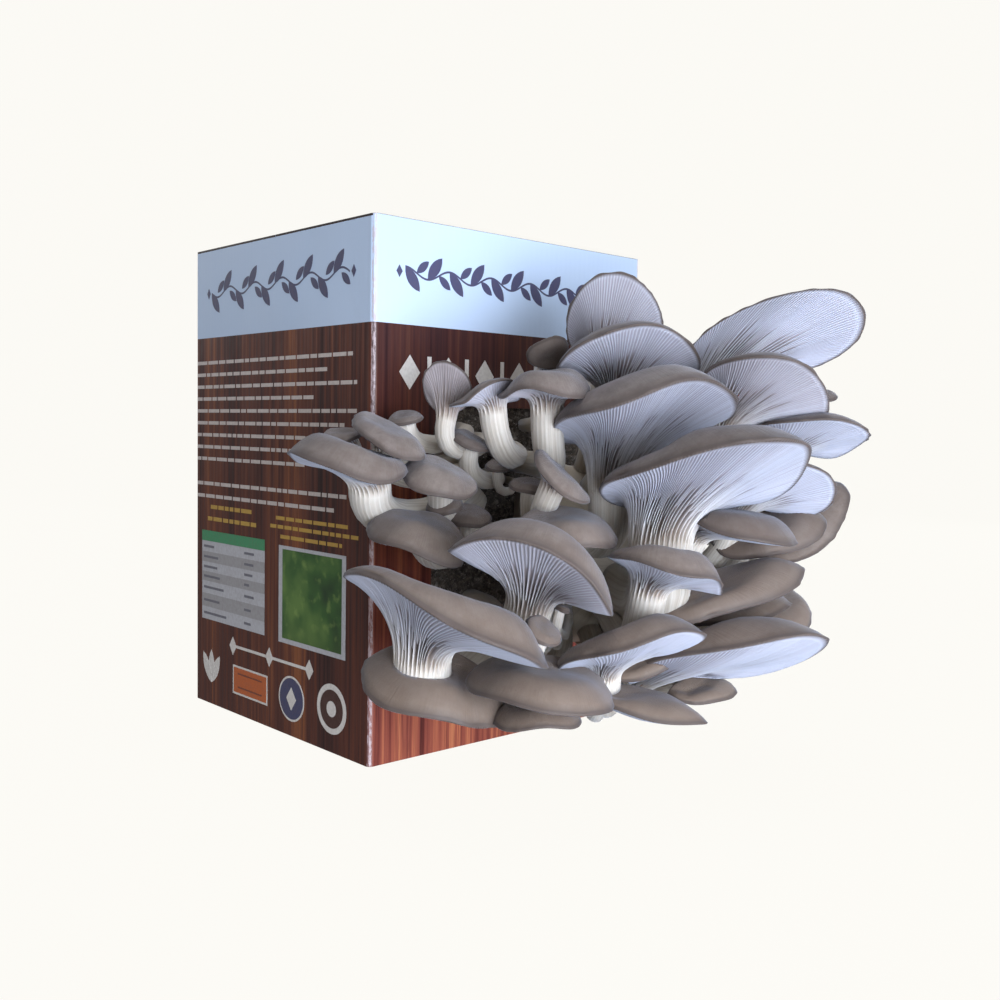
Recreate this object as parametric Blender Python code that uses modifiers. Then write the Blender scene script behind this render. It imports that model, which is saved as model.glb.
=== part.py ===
"""Oyster mushroom grow kit: a printed carton with a cut-out in its front, the block of growing medium inside it,
and the cluster of oyster mushrooms that grows out of the block through the cut-out.

The frame's origin is the middle of the carton's resting face. +X runs along the front to the right, -Y points
out of the front, and +Z is up. Blender units are metres; the sizes below are in millimetres and take MM.
"""
from dataclasses import dataclass
import math

import bmesh
import bpy
from mathutils import Vector
from mathutils.bvhtree import BVHTree
import numpy as np

MM = 0.001
Y_AXIS, Z_AXIS = 1, 2
SMOOTH_ANGLE = math.radians(60)
ALONG_AXIS = 0.99
NO_TURN = 1e-9

# Carton
CARTON_WIDTH = 164
CARTON_DEPTH = 154
CARTON_HEIGHT = 229
CARD = 2.0
FOLD_RADIUS = 2.0
FRONT = -CARTON_DEPTH / 2
WINDOW_WIDTH = 100
WINDOW_SILL = 48
WINDOW_HEAD = 152
WINDOW_RADIUS = 12
FLAP_SEAM_WIDTH = 0.8
FLAP_SEAM_DEPTH = 1.2

# Block of growing medium
BLOCK_CLEARANCE = 0.8
BLOCK_HEIGHT = 196
BLOCK_ROUNDING = 5.0
BLOCK_ROUNDING_STEPS = 2
TOUCH_GAP = 0.3
BLOCK_FACE = FRONT + CARD + BLOCK_CLEARANCE

# Fused foot of the stems, a lumpy half ellipsoid on the block's face
FOOT_PLACE = (20, 86)
FOOT_HALF_SIZE = (25, 64, 33)
FOOT_SWELL = 0.7
FOOT_SLANT = 0.35
FOOT_LUMP = 0.06
FOOT_LUMPS_ACROSS = 7
FOOT_LUMPS_UP = 9
FOOT_POINTS_AROUND = 16
FOOT_RINGS = 9

# Mushrooms
ROOT_PLANE = BLOCK_FACE - TOUCH_GAP
MARGIN_EDGE = 0.05
THINNEST_MARGIN = 1.0
GILL_RUN = 1.6
GILL_RISE = 0.45
GILL_SPREAD = 0.45
GILL_DROP = 0.08
CAP_SPACING = 1.4
BACK_FLATNESS = 0.6
SQUARE_UNDER_CAP = 1.0
LEAST_LIFT = 0.4
LIFT_SOFTNESS = 0.12
FLESH_OVER_STEM = 0.3
CURL_START = 0.62
CURL_POWER = 2.2
HUB_DIP = 0.12
HUB_DIP_REACH = 0.7
WAVE = 0.03
WAVE_LOBES = 3
RIPPLE_LOBES = 4
RIPPLE_SHIFT = 1.7
PHASE_STEP = 1.9
STEM_OUTWARD = 0.45
STEM_ARRIVAL = 0.35
STEM_SPACING = 1.5
ROOT_TAPER = 0.8
NEIGHBOUR_GAP = 0.45


@dataclass
class Mushroom:
    """One mushroom, in millimetres. Its cap is an oval dish, fixed to its stem at the hub."""
    name: str
    root: tuple           # where the stem leaves the block's face, x and z
    hub: tuple            # the cap's top over its stem
    tip: tuple            # the margin's farthest point
    faces: tuple          # the way the cap's upper side looks
    width: float          # the cap's size across
    back: float           # how far the cap reaches behind its hub
    stem: float           # the stem's radius under the cap
    curl: float = 0.30    # how far the margin turns down, in cap sizes
    arch: float = 0.12    # how far the cap falls to its sides, in widths
    nod: float = 0.10     # how far the cap falls to its tip, in lengths
    flesh: float = 0.50   # how far the gills run down the stem
    lean: float = 0.4     # how far the stem still leans the way it came where it reaches the cap
    taper: float = 0.0    # how much broader the cap is at its tip than behind

    @property
    def length(self):
        return float(np.linalg.norm(np.subtract(self.tip, self.hub)))

    @property
    def size(self):
        return (self.length + self.back + self.width) / 4


TOP_MUSHROOMS = [
    Mushroom("top_1", (16, 112), (2, -127, 178), (7, -137, 207), (0.7, 0.7, 0.2), 40, 9, 5, curl=0.15, arch=0.05,
             lean=0.6),
    Mushroom("top_2", (12, 106), (-6, -142, 172), (-17, -163, 192), (0.37, 0.62, 0.7), 58, 10, 7, curl=0.32,
             arch=0.19),
    Mushroom("top_3", (8, 100), (-22, -152, 153), (-19, -195, 176), (0.09, 0.88, 0.7), 66, 24, 9, curl=0.33,
             flesh=0.65, arch=0.16),
    Mushroom("top_4", (20, 84), (-27, -183, 130), (-11, -230, 154), (0.12, 0.79, 0.74), 56, 23, 12, curl=0.33,
             flesh=0.60, arch=0.16),
]
RIGHT_MUSHROOMS = [
    Mushroom("right_1", (32, 108), (23, -164, 174), (69, -204, 193), (0.5, 0.9, 0.1), 32, 9, 6, curl=0.15,
             taper=0.3, lean=0.6),
    Mushroom("right_2", (28, 104), (12, -184, 161), (38, -210, 164), (0.3, 0.6, 0.72), 56, 14, 6, curl=0.38,
             lean=0.6),
    Mushroom("right_3", (36, 106), (53, -191, 160), (64, -201, 163), (0.0, -0.2, 1.0), 15, 6, 3.5),
    Mushroom("right_4", (36, 98), (34, -197, 145), (50, -222, 151), (0.4, 0.3, 0.9), 34, 14, 5, lean=0.8),
    Mushroom("right_5", (30, 94), (16, -191, 124), (35, -217, 130), (0.5, 0.5, 0.7), 38, 12, 5, lean=0.8),
    Mushroom("right_6", (28, 88), (-7, -193, 116), (5, -224, 113), (0.15, -0.22, 0.97), 44, 14, 5, lean=1.5),
    Mushroom("right_7", (34, 88), (20, -193, 107), (36, -212, 117), (-0.5, -0.1, 0.8), 32, 20, 5, lean=1.5),
    Mushroom("right_8", (38, 82), (43, -189, 101), (57, -206, 125), (-0.8, -0.2, 0.6), 30, 12, 5, lean=1.5),
    Mushroom("right_9", (30, 78), (-17, -191, 83), (20, -213, 102), (-0.4, 0.0, 0.9), 28, 26, 5, flesh=0.35,
             lean=2.0),
    Mushroom("right_10", (34, 72), (10, -189, 76), (30, -198, 84), (-0.1, 0.15, 0.9), 34, 18, 4, flesh=0.30,
             lean=2.0),
    Mushroom("right_11", (36, 70), (34, -192, 77), (49, -203, 76), (-0.1, -0.5, 0.8), 36, 10, 4.5, flesh=0.30,
             lean=2.0),
    Mushroom("right_12", (28, 68), (-26, -180, 58), (13, -218, 86), (0.0, 0.7, 0.7), 38, 12, 6, curl=0.40,
             lean=2.2, flesh=0.45, taper=0.3, arch=0.18, nod=0.18),
]
LOW_MUSHROOMS = [
    Mushroom("low_1", (18, 80), (-38, -192, 99), (-30, -216, 101), (0.4, 0.2, 0.9), 40, 16, 7, curl=0.45,
             arch=0.20, flesh=0.55, lean=0.6),
    Mushroom("low_2", (4, 80), (-73, -170, 102), (-91, -192, 117), (0.66, 0.2, 0.8), 60, 12, 9, curl=0.40,
             arch=0.25, flesh=0.70, lean=1.4),
    Mushroom("low_3", (2, 94), (-58, -159, 113), (-67, -181, 109), (-0.3, -0.4, 0.9), 42, 10, 6, arch=0.22, lean=0.8),
    Mushroom("low_4", (-26, 62), (-111, -151, 89), (-77, -183, 75), (0.5, -0.03, 0.9), 56, 27, 10.5, curl=0.35,
             flesh=0.62, lean=1.2),
    Mushroom("low_5", (-28, 64), (-94, -137, 59), (-112, -161, 53), (-0.2, -0.68, 0.8), 54, 12, 6, flesh=0.35,
             lean=4.0),
    Mushroom("low_6", (6, 68), (-73, -171, 60), (-92, -192, 60), (-0.2, -0.4, 0.9), 52, 12, 6, flesh=0.30, lean=2.0),
    Mushroom("low_7", (6, 64), (-71, -164, 45), (-83, -180, 46), (-0.2, -0.2, 0.9), 31, 8, 4, flesh=0.30, lean=2.0),
    Mushroom("low_8", (16, 60), (-48, -178, 47), (-24, -206, 47), (0.05, 0.03, 1.0), 26, 8, 3.5, flesh=0.25,
             lean=1.8),
    Mushroom("low_9", (24, 64), (-9, -184, 44), (10, -192, 48), (-0.3, 0.0, 0.9), 20, 8, 3.5, flesh=0.25, lean=3.0),
    Mushroom("low_10", (12, 72), (-54, -182, 68), (-40, -207, 85), (0.05, 0.635, 0.9), 42, 22, 6, curl=0.40,
             lean=1.2, flesh=0.45),
    Mushroom("low_11", (22, 68), (-37, -180, 58), (-21, -190, 69), (-0.6, -0.1, 0.8), 20, 10, 4, flesh=0.25,
             lean=3.0),
]
LEFT_MUSHROOMS = [
    Mushroom("left_1", (-40, 116), (-112, -117, 135), (-136, -113, 144), (0.86, -0.21, 1.0), 44, 16, 8, lean=1.0,
             arch=0.2, curl=0.4),
    Mushroom("left_2", (-40, 126), (-99, -108, 145), (-100, -133, 137), (0.1, -0.95, 0.55), 24, 13, 4.5, lean=0.8),
    Mushroom("left_3", (-38, 134), (-105, -92, 141), (-112, -86, 142), (-0.3, 0.0, 1.0), 20, 6, 4, lean=1.0),
    Mushroom("left_4", (-32, 114), (-85, -128, 130), (-94, -144, 127), (0.21, -0.32, 0.92), 30, 9, 5, lean=0.8,
             arch=0.28, nod=0.3, curl=0.3),
    Mushroom("left_5", (-38, 100), (-94, -129, 110), (-104, -145, 108), (0.19, -0.29, 0.94), 38, 12, 6, lean=2.0,
             arch=0.26, nod=0.3, curl=0.3),
    Mushroom("left_6", (-34, 142), (-81, -97, 148), (-84, -103, 146), (-0.4, -0.3, 0.9), 14, 6, 4),
    Mushroom("left_7", (-26, 138), (-69, -111, 153), (-72, -114, 169), (0.8, 0.5, 0.1), 20, 5, 4, curl=0.20,
             flesh=0.6),
    Mushroom("left_8", (-14, 134), (-63, -128, 159), (-70, -113, 152), (0.13, 0.37, 0.92), 30, 10, 5.5, arch=0.3,
             nod=0.4),
    Mushroom("left_9", (-4, 128), (-50, -146, 166), (-70, -155, 165), (0.23, 0.21, 0.95), 36, 10, 6.5, flesh=0.65,
             arch=0.35),
    Mushroom("left_10", (4, 144), (-30, -128, 170), (-34, -132, 177), (-0.5, -0.6, 0.7), 18, 6, 4),
]
SMALL_MUSHROOMS = [
    Mushroom("small_1", (-20, 70), (-81, -179, 75), (-82, -186, 70), (0.1, -0.7, 0.7), 14, 6, 3),
    Mushroom("small_2", (-18, 122), (-61, -116, 140), (-66, -125, 137), (0.0, -0.8, 0.7), 17, 6, 4),
    Mushroom("small_3", (-8, 120), (-45, -113, 129), (-47, -119, 127), (0.0, -0.2, 1.0), 10, 4, 2, curl=0.5,
             arch=0.25),
    Mushroom("small_4", (8, 102), (-54, -159, 129), (-55, -176, 118), (0.62, -0.36, 1.0), 26, 10, 5, arch=0.2),
    Mushroom("small_5", (4, 100), (-50, -138, 123), (-55, -145, 121), (-0.3, -0.6, 0.7), 16, 5, 3.5),
    Mushroom("small_6", (-26, 106), (-79, -120, 116), (-85, -127, 113), (-0.6, -0.5, 0.6), 14, 6, 4, lean=1.0),
    Mushroom("small_7", (-18, 98), (-68, -123, 111), (-72, -130, 108), (-0.2, -0.5, 0.9), 17, 7, 4, lean=1.0),
    Mushroom("pin_1", (6, 84), (-63, -169, 79), (-65, -174, 79), (0.1, -0.6, 0.8), 6, 3, 2),
    Mushroom("pin_2", (4, 86), (-64, -165, 80), (-66, -168, 79), (-0.6, -0.3, 0.8), 6, 3, 2),
]
MUSHROOMS = TOP_MUSHROOMS + RIGHT_MUSHROOMS + LOW_MUSHROOMS + LEFT_MUSHROOMS + SMALL_MUSHROOMS


@dataclass
class Detail:
    """How many points and rings a mushroom's mesh has."""
    around: int
    stem: int
    gills: int
    top: int


LARGE_DETAIL = Detail(11, 3, 3, 3)
MIDDLE_DETAIL = Detail(8, 2, 2, 2)
SMALL_DETAIL = Detail(8, 2, 1, 2)
LARGE_FROM = 20.8
MIDDLE_FROM = 10


def clear_scene():
    for thing in list(bpy.data.objects):
        bpy.data.objects.remove(thing, do_unlink=True)


def new_collection(name):
    group = bpy.data.collections.new(name)
    bpy.context.scene.collection.children.link(group)
    return group


def make_material(name, colour, roughness):
    material = bpy.data.materials.new(name)
    material.use_nodes = True
    shader = material.node_tree.nodes["Principled BSDF"]
    shader.inputs["Base Color"].default_value = (*colour, 1)
    shader.inputs["Roughness"].default_value = roughness
    shader.inputs["Metallic"].default_value = 0
    return material


def mesh_object(name, shape, group, material=None):
    """A new object from a bmesh, which is used up."""
    mesh = bpy.data.meshes.new(name)
    shape.to_mesh(mesh)
    shape.free()
    thing = bpy.data.objects.new(name, mesh)
    group.objects.link(thing)
    if material:
        mesh.materials.append(material)
    return thing


def block_shape(low, high):
    """A box between two corners given in millimetres."""
    shape = bmesh.new()
    bmesh.ops.create_cube(shape, size=1)
    for vertex in shape.verts:
        vertex.co = Vector([(low[i] + (high[i] - low[i]) * (vertex.co[i] + 0.5)) * MM for i in range(3)])
    return shape


def round_edges(shape, axis, radius, segments):
    """Rounds the edges that run along one axis."""
    along = [edge for edge in shape.edges
             if abs((edge.verts[0].co - edge.verts[1].co).normalized()[axis]) > ALONG_AXIS]
    bmesh.ops.bevel(shape, geom=along, offset=radius * MM, segments=segments, profile=0.5, affect="EDGES")


def hide_cutter(cutter):
    cutter.hide_render = True
    cutter.display_type = "WIRE"


def cut(thing, cutter, solver="EXACT"):
    hide_cutter(cutter)
    modifier = thing.modifiers.new(cutter.name, "BOOLEAN")
    modifier.operation = "DIFFERENCE"
    modifier.solver = solver
    modifier.object = cutter


def make_carton(parts, cutters, card):
    """A folded carton: thin walls round a hollow, a window in the front, and the seam where its top flaps meet."""
    half_x, half_y = CARTON_WIDTH / 2, CARTON_DEPTH / 2
    outside = block_shape((-half_x, -half_y, 0), (half_x, half_y, CARTON_HEIGHT))
    round_edges(outside, Z_AXIS, FOLD_RADIUS, 2)
    carton = mesh_object("carton", outside, parts, card)

    inside = block_shape((CARD - half_x, CARD - half_y, CARD), (half_x - CARD, half_y - CARD, CARTON_HEIGHT - CARD))
    cut(carton, mesh_object("carton_hollow", inside, cutters))

    window = block_shape((-WINDOW_WIDTH / 2, FRONT - CARD, WINDOW_SILL), (WINDOW_WIDTH / 2, FRONT + 2 * CARD, WINDOW_HEAD))
    round_edges(window, Y_AXIS, WINDOW_RADIUS, 4)
    cut(carton, mesh_object("carton_window", window, cutters))

    seam = block_shape((-half_x - CARD, -FLAP_SEAM_WIDTH / 2, CARTON_HEIGHT - FLAP_SEAM_DEPTH),
                       (half_x + CARD, FLAP_SEAM_WIDTH / 2, CARTON_HEIGHT + CARD))
    cut(carton, mesh_object("flap_seam", seam, cutters))


def make_block(parts, medium):
    """The pressed block of growing medium, a little smaller than the carton's hollow."""
    inset = CARD + BLOCK_CLEARANCE
    low = (inset - CARTON_WIDTH / 2, BLOCK_FACE, CARD + TOUCH_GAP)
    high = (CARTON_WIDTH / 2 - inset, CARTON_DEPTH / 2 - inset, BLOCK_HEIGHT)
    block = mesh_object("substrate_block", block_shape(low, high), parts, medium)
    rounding = block.modifiers.new("rounding", "BEVEL")
    rounding.width = BLOCK_ROUNDING * MM
    rounding.segments = BLOCK_ROUNDING_STEPS


def make_foot(parts, flesh):
    """The lump of fused stems on the block's face."""
    shape = bmesh.new()
    bmesh.ops.create_uvsphere(shape, u_segments=FOOT_POINTS_AROUND, v_segments=FOOT_RINGS, radius=1)
    for vertex in shape.verts:
        x, y, z = vertex.co
        lumps = math.sin(FOOT_LUMPS_ACROSS * (x + y)) + math.sin(FOOT_LUMPS_UP * z)
        swell = 1 + FOOT_SWELL * abs(y) + FOOT_LUMP * lumps
        slant = FOOT_SLANT * FOOT_HALF_SIZE[1] * min(y, 0)
        vertex.co = Vector((FOOT_PLACE[0] + FOOT_HALF_SIZE[0] * x * swell + slant,
                            ROOT_PLANE + FOOT_HALF_SIZE[1] * y,
                            FOOT_PLACE[1] + FOOT_HALF_SIZE[2] * z * swell)) * MM
    flat = Vector((0, ROOT_PLANE * MM, 0))
    everything = shape.verts[:] + shape.edges[:] + shape.faces[:]
    bmesh.ops.bisect_plane(shape, geom=everything, plane_co=flat, plane_no=(0, 1, 0), clear_outer=True)
    rim = [edge for edge in shape.edges if edge.is_boundary]
    bmesh.ops.holes_fill(shape, edges=rim)
    bmesh.ops.triangulate(shape, faces=shape.faces)
    bmesh.ops.recalc_face_normals(shape, faces=shape.faces)
    return mesh_object("stem_foot", shape, parts, flesh)


def unit(vector):
    return vector / np.linalg.norm(vector)


def cap_frame(m):
    """The cap's axes: along it from hub to tip, across it, and out of its upper side."""
    along = unit(np.array(m.tip, float) - m.hub)
    up = np.array(m.faces, float)
    up = unit(up - (up @ along) * along)
    return along, np.cross(along, up), up


def rim_waves(angle, phase):
    return 1 + WAVE * np.sin(WAVE_LOBES * angle + phase)


def cap_height(m, x, y, angle, reach, phase):
    """The cap's top above the plane through its hub. reach is 0 at the hub's middle and 1 at the margin."""
    side_fall = m.arch * m.width * (y / (m.width / 2)) ** 2
    tip_fall = m.nod * m.length * np.clip(x / m.length, 0, None) ** 2
    away_from_stem = 1 - BACK_FLATNESS * (1 - np.cos(angle)) / 2
    turned_down = m.curl * m.size * np.clip((reach - CURL_START) / (1 - CURL_START), 0, None) ** CURL_POWER
    ripple = WAVE * m.size * reach ** 2 * np.sin(RIPPLE_LOBES * angle + RIPPLE_SHIFT * phase)
    return ripple - side_fall * away_from_stem - tip_fall - turned_down * away_from_stem


def gill_depth(m):
    return GILL_RUN * m.flesh * m.size


def stem_heading(m):
    """The way the stem points where it reaches the cap: upwards, partly square to the cap, and partly onwards."""
    way = unit(np.array(m.hub, float) - (m.root[0], ROOT_PLANE, m.root[1]))
    return unit(np.array((0, 0, 1)) + SQUARE_UNDER_CAP * cap_frame(m)[2] + m.lean * way)


def stem_top(m):
    return np.array(m.hub, float) - gill_depth(m) * stem_heading(m)


def lifted(m, points, least):
    """The points, raised smoothly along the stem's heading so that none lies lower than least over its top."""
    heading = stem_heading(m)
    over = (points - stem_top(m)) @ heading
    softness = LIFT_SOFTNESS * m.size
    raised = (over + least + np.sqrt((over - least) ** 2 + softness ** 2)) / 2
    return points + np.outer(raised - over, heading)


def cap_point(m, x, y, height):
    along, across, up = cap_frame(m)
    return np.array(m.hub, float) + np.outer(x, along) + np.outer(y, across) + np.outer(height, up)


def rim_outline(m, angle, phase):
    x = (m.length - m.back) / 2 + (m.length + m.back) / 2 * np.cos(angle) * rim_waves(angle, phase)
    y = m.width / 2 * np.sin(angle) * (1 + m.taper * np.cos(angle)) * rim_waves(angle, phase)
    return x, y


def turned(vectors, before, after):
    """The vectors after the least turn that takes one direction to another."""
    axis = np.cross(before, after)
    sine = np.linalg.norm(axis)
    if sine < NO_TURN:
        return vectors
    axis = axis / sine
    cosine = before @ after
    return [v * cosine + np.cross(axis, v) * sine + axis * (axis @ v) * (1 - cosine) for v in vectors]


def circle(middle, radius, angle, axes):
    return middle + np.outer(radius * np.cos(angle), axes[0]) + np.outer(radius * np.sin(angle), axes[1])


def margin_edge(m):
    return max(MARGIN_EDGE * m.size, THINNEST_MARGIN)


def gill_ring(m, angle, phase, rise):
    """A ring of the underside, which flares from the stem's top at rise 0 to the margin at rise 1."""
    along, across, up = cap_frame(m)
    heading = stem_heading(m)
    depth = gill_depth(m)
    low = circle(stem_top(m), m.stem, angle, turned((along, across), up, heading))
    flare = low + GILL_RISE * depth * heading
    rim_x, rim_y = rim_outline(m, angle, phase)
    edge = margin_edge(m)
    height = cap_height(m, rim_x, rim_y, angle, 1, phase)
    margin = lifted(m, cap_point(m, rim_x, rim_y, height - edge), LEAST_LIFT * depth)
    inner = (1 - GILL_SPREAD) * rim_x, (1 - GILL_SPREAD) * rim_y
    crease = lifted(m, cap_point(m, *inner, height - edge - GILL_DROP * m.size), LEAST_LIFT * depth)
    return curve_point((low, flare, crease, margin), rise)


def top_ring(m, angle, phase, reach):
    rim_x, rim_y = rim_outline(m, angle, phase)
    x, y = rim_x * reach, rim_y * reach
    dip = HUB_DIP * m.size * (1 - reach ** 2) * np.exp(-(np.hypot(x, y) / (HUB_DIP_REACH * m.size)) ** 2)
    least = LEAST_LIFT * gill_depth(m) + margin_edge(m) + FLESH_OVER_STEM * m.size * (1 - reach)
    return lifted(m, cap_point(m, x, y, cap_height(m, x, y, angle, reach, phase) - dip), least)


def curve_point(ends, t):
    a, b, c, d = ends
    return (1 - t) ** 3 * a + 3 * (1 - t) ** 2 * t * b + 3 * (1 - t) * t ** 2 * c + t ** 3 * d


def curve_heading(ends, t):
    a, b, c, d = ends
    return unit((1 - t) ** 2 * (b - a) + 2 * (1 - t) * t * (c - b) + t ** 2 * (d - c))


def stem_curve(m):
    """The stem's middle line: straight out of the block, then bending up to the cap."""
    heading = stem_heading(m)
    end = stem_top(m)
    root = np.array((m.root[0], ROOT_PLANE, m.root[1]), float)
    span = np.linalg.norm(end - root)
    outward = np.array((0, -1, 0)) * span * STEM_OUTWARD
    return root, root + outward, end - heading * span * STEM_ARRIVAL, end


def stem_rings(m, angle, count):
    """Rings from the root to just under the cap, turned so that they meet the cap's own points."""
    ends = stem_curve(m)
    up = cap_frame(m)[2]
    heading = stem_heading(m)
    axes = turned(cap_frame(m)[:2], up, heading)
    rings = []
    for step in range(count, -1, -1):
        t = 1 - (1 - step / count) ** STEM_SPACING
        new_heading = curve_heading(ends, t)
        axes = turned(axes, heading, new_heading)
        heading = new_heading
        radius = m.stem * (ROOT_TAPER + (1 - ROOT_TAPER) * t)
        rings.insert(0, circle(curve_point(ends, t), radius, angle, axes))
    return rings


def mushroom_rings(m, detail, phase):
    angle = np.linspace(0, 2 * math.pi, detail.around, endpoint=False)
    stem = stem_rings(m, angle, detail.stem)
    gills = [gill_ring(m, angle, phase, (k + 1) / detail.gills) for k in range(detail.gills)]
    top = [top_ring(m, angle, phase, 1 - (k / detail.top) ** CAP_SPACING) for k in range(detail.top)]
    return stem + gills + top


def loft(rings):
    """A closed shape through the rings, with a flat face on the first and a fan on the last."""
    shape = bmesh.new()
    loops = [[shape.verts.new(point * MM) for point in ring] for ring in rings]
    count = len(loops[0])
    for lower, upper in zip(loops, loops[1:]):
        for i in range(count):
            j = (i + 1) % count
            shape.faces.new((lower[i], lower[j], upper[j]))
            shape.faces.new((lower[i], upper[j], upper[i]))
    shape.faces.new(loops[0][::-1])
    middle = shape.verts.new(sum((vertex.co for vertex in loops[-1]), Vector()) / count)
    for i in range(count):
        shape.faces.new((loops[-1][i], loops[-1][(i + 1) % count], middle))
    if shape.calc_volume(signed=True) < 0:
        bmesh.ops.reverse_faces(shape, faces=shape.faces)
    return shape


def mushroom_detail(m):
    if m.size > LARGE_FROM:
        return LARGE_DETAIL
    if m.size > MIDDLE_FROM:
        return MIDDLE_DETAIL
    return SMALL_DETAIL


def tree_of(thing):
    points = [vertex.co for vertex in thing.data.vertices]
    return BVHTree.FromPolygons(points, [tuple(face.vertices) for face in thing.data.polygons])


def grown_copy(thing, cutters):
    """A copy that stands off the surface by the gap that neighbours keep."""
    shape = bmesh.new()
    shape.from_mesh(thing.data)
    shape.normal_update()
    moved = [vertex.co + vertex.normal * NEIGHBOUR_GAP * MM for vertex in shape.verts]
    for vertex, place in zip(shape.verts, moved):
        vertex.co = place
    guard = mesh_object("clear_of_" + thing.name, shape, cutters)
    hide_cutter(guard)
    return guard


def keep_piece_at(thing, place):
    """Applies the cuts, and drops what they leave on the far side of a neighbour from a place on the cap."""
    seen = thing.evaluated_get(bpy.context.evaluated_depsgraph_get())
    shape = bmesh.new()
    shape.from_mesh(bpy.data.meshes.new_from_object(seen))
    thing.modifiers.clear()
    start = min(shape.verts, key=lambda vertex: (vertex.co - place).length)
    piece = set(start.link_faces)
    reached = list(piece)
    while reached:
        face = reached.pop()
        near = {other for edge in face.edges for other in edge.link_faces} - piece
        piece |= near
        reached.extend(near)
    spare = [face for face in shape.faces if face not in piece]
    bmesh.ops.delete(shape, geom=spare, context="FACES")
    shape.to_mesh(thing.data)
    shape.free()


def make_mushrooms(parts, cutters, flesh, foot):
    """The mushrooms in turn. Where one would run through an earlier one, it ends at that one's surface."""
    guards = [grown_copy(foot, cutters)]
    for index, m in enumerate(MUSHROOMS):
        phase = PHASE_STEP * index
        shape = loft(mushroom_rings(m, mushroom_detail(m), phase))
        mushroom = mesh_object("mushroom_" + m.name, shape, parts, flesh)
        own_guard = grown_copy(mushroom, cutters)
        tree = tree_of(mushroom)
        met = [guard for guard in guards if tree.overlap(tree_of(guard))]
        for guard in met:
            cut(mushroom, guard, solver="MANIFOLD")
        if met:
            keep_piece_at(mushroom, Vector(m.tip) * MM)
        mushroom.data.shade_smooth()
        mushroom.data.set_sharp_from_angle(angle=SMOOTH_ANGLE)
        guards.append(own_guard)


def main():
    clear_scene()
    parts = new_collection("oyster_mushroom_grow_kit")
    cutters = new_collection("cutters")
    card = make_material("printed_card", (0.09, 0.022, 0.017), 0.45)
    medium = make_material("growing_medium", (0.045, 0.035, 0.028), 0.95)
    stem_flesh = make_material("stem_flesh", (0.62, 0.55, 0.45), 0.6)
    mushroom_flesh = make_material("mushroom_flesh", (0.33, 0.28, 0.24), 0.55)
    make_carton(parts, cutters, card)
    make_block(parts, medium)
    foot = make_foot(parts, stem_flesh)
    make_mushrooms(parts, cutters, mushroom_flesh, foot)


main()
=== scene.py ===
"""Looks of the oyster mushroom grow kit: printed carton, crumbly growing medium and gilled mushrooms.

Lengths of the mushrooms and of the print are in millimetres and take MM. The scene itself is in metres, in
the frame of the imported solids: origin in the middle of the carton's resting face, -Y out of its front, +Z up.
"""
from dataclasses import dataclass
import math

import bpy
import numpy as np
from mathutils import Matrix, Vector, noise
from mathutils.bvhtree import BVHTree
from mathutils.kdtree import KDTree


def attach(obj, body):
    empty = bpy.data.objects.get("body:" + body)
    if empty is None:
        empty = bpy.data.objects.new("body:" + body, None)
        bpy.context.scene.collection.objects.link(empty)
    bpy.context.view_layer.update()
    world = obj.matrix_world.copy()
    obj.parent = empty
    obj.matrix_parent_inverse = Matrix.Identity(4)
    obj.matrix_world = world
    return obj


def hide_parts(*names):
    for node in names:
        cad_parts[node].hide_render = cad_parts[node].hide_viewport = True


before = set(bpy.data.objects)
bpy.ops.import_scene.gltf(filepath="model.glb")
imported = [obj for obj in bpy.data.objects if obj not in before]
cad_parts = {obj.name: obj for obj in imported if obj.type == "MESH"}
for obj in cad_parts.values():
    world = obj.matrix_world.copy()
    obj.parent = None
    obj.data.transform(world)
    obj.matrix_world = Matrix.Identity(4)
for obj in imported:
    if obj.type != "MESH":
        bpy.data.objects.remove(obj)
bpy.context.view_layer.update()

MM = 0.001
TINY = 1e-9

# Carton
CARTON_WIDTH = 164
CARTON_DEPTH = 154
CARTON_HEIGHT = 229
CARD = 2.0
FRONT = -CARTON_DEPTH / 2
WINDOW_WIDTH = 100
WINDOW_SILL = 48
WINDOW_HEAD = 152
WINDOW_RADIUS = 12

# Block of growing medium
BLOCK_CLEARANCE = 0.8
TOUCH_GAP = 0.3
BLOCK_FACE = FRONT + CARD + BLOCK_CLEARANCE

# Fused foot of the stems, a lumpy half ellipsoid on the block's face
FOOT_PLACE = (20, 86)
FOOT_HALF_SIZE = (25, 64, 33)
FOOT_SWELL = 0.7
FOOT_SLANT = 0.35
FOOT_LUMP = 0.06
FOOT_LUMPS_ACROSS = 7
FOOT_LUMPS_UP = 9

# Mushrooms
ROOT_PLANE = BLOCK_FACE - TOUCH_GAP
MARGIN_EDGE = 0.05
THINNEST_MARGIN = 1.0
GILL_RUN = 1.6
GILL_RISE = 0.45
GILL_SPREAD = 0.45
GILL_DROP = 0.08
CAP_SPACING = 1.4
BACK_FLATNESS = 0.6
SQUARE_UNDER_CAP = 1.0
LEAST_LIFT = 0.4
LIFT_SOFTNESS = 0.12
FLESH_OVER_STEM = 0.3
CURL_START = 0.62
CURL_POWER = 2.2
HUB_DIP = 0.12
HUB_DIP_REACH = 0.7
WAVE = 0.03
WAVE_LOBES = 3
RIPPLE_LOBES = 4
RIPPLE_SHIFT = 1.7
PHASE_STEP = 1.9
STEM_OUTWARD = 0.45
STEM_ARRIVAL = 0.35
STEM_SPACING = 1.5
ROOT_TAPER = 0.8


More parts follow.
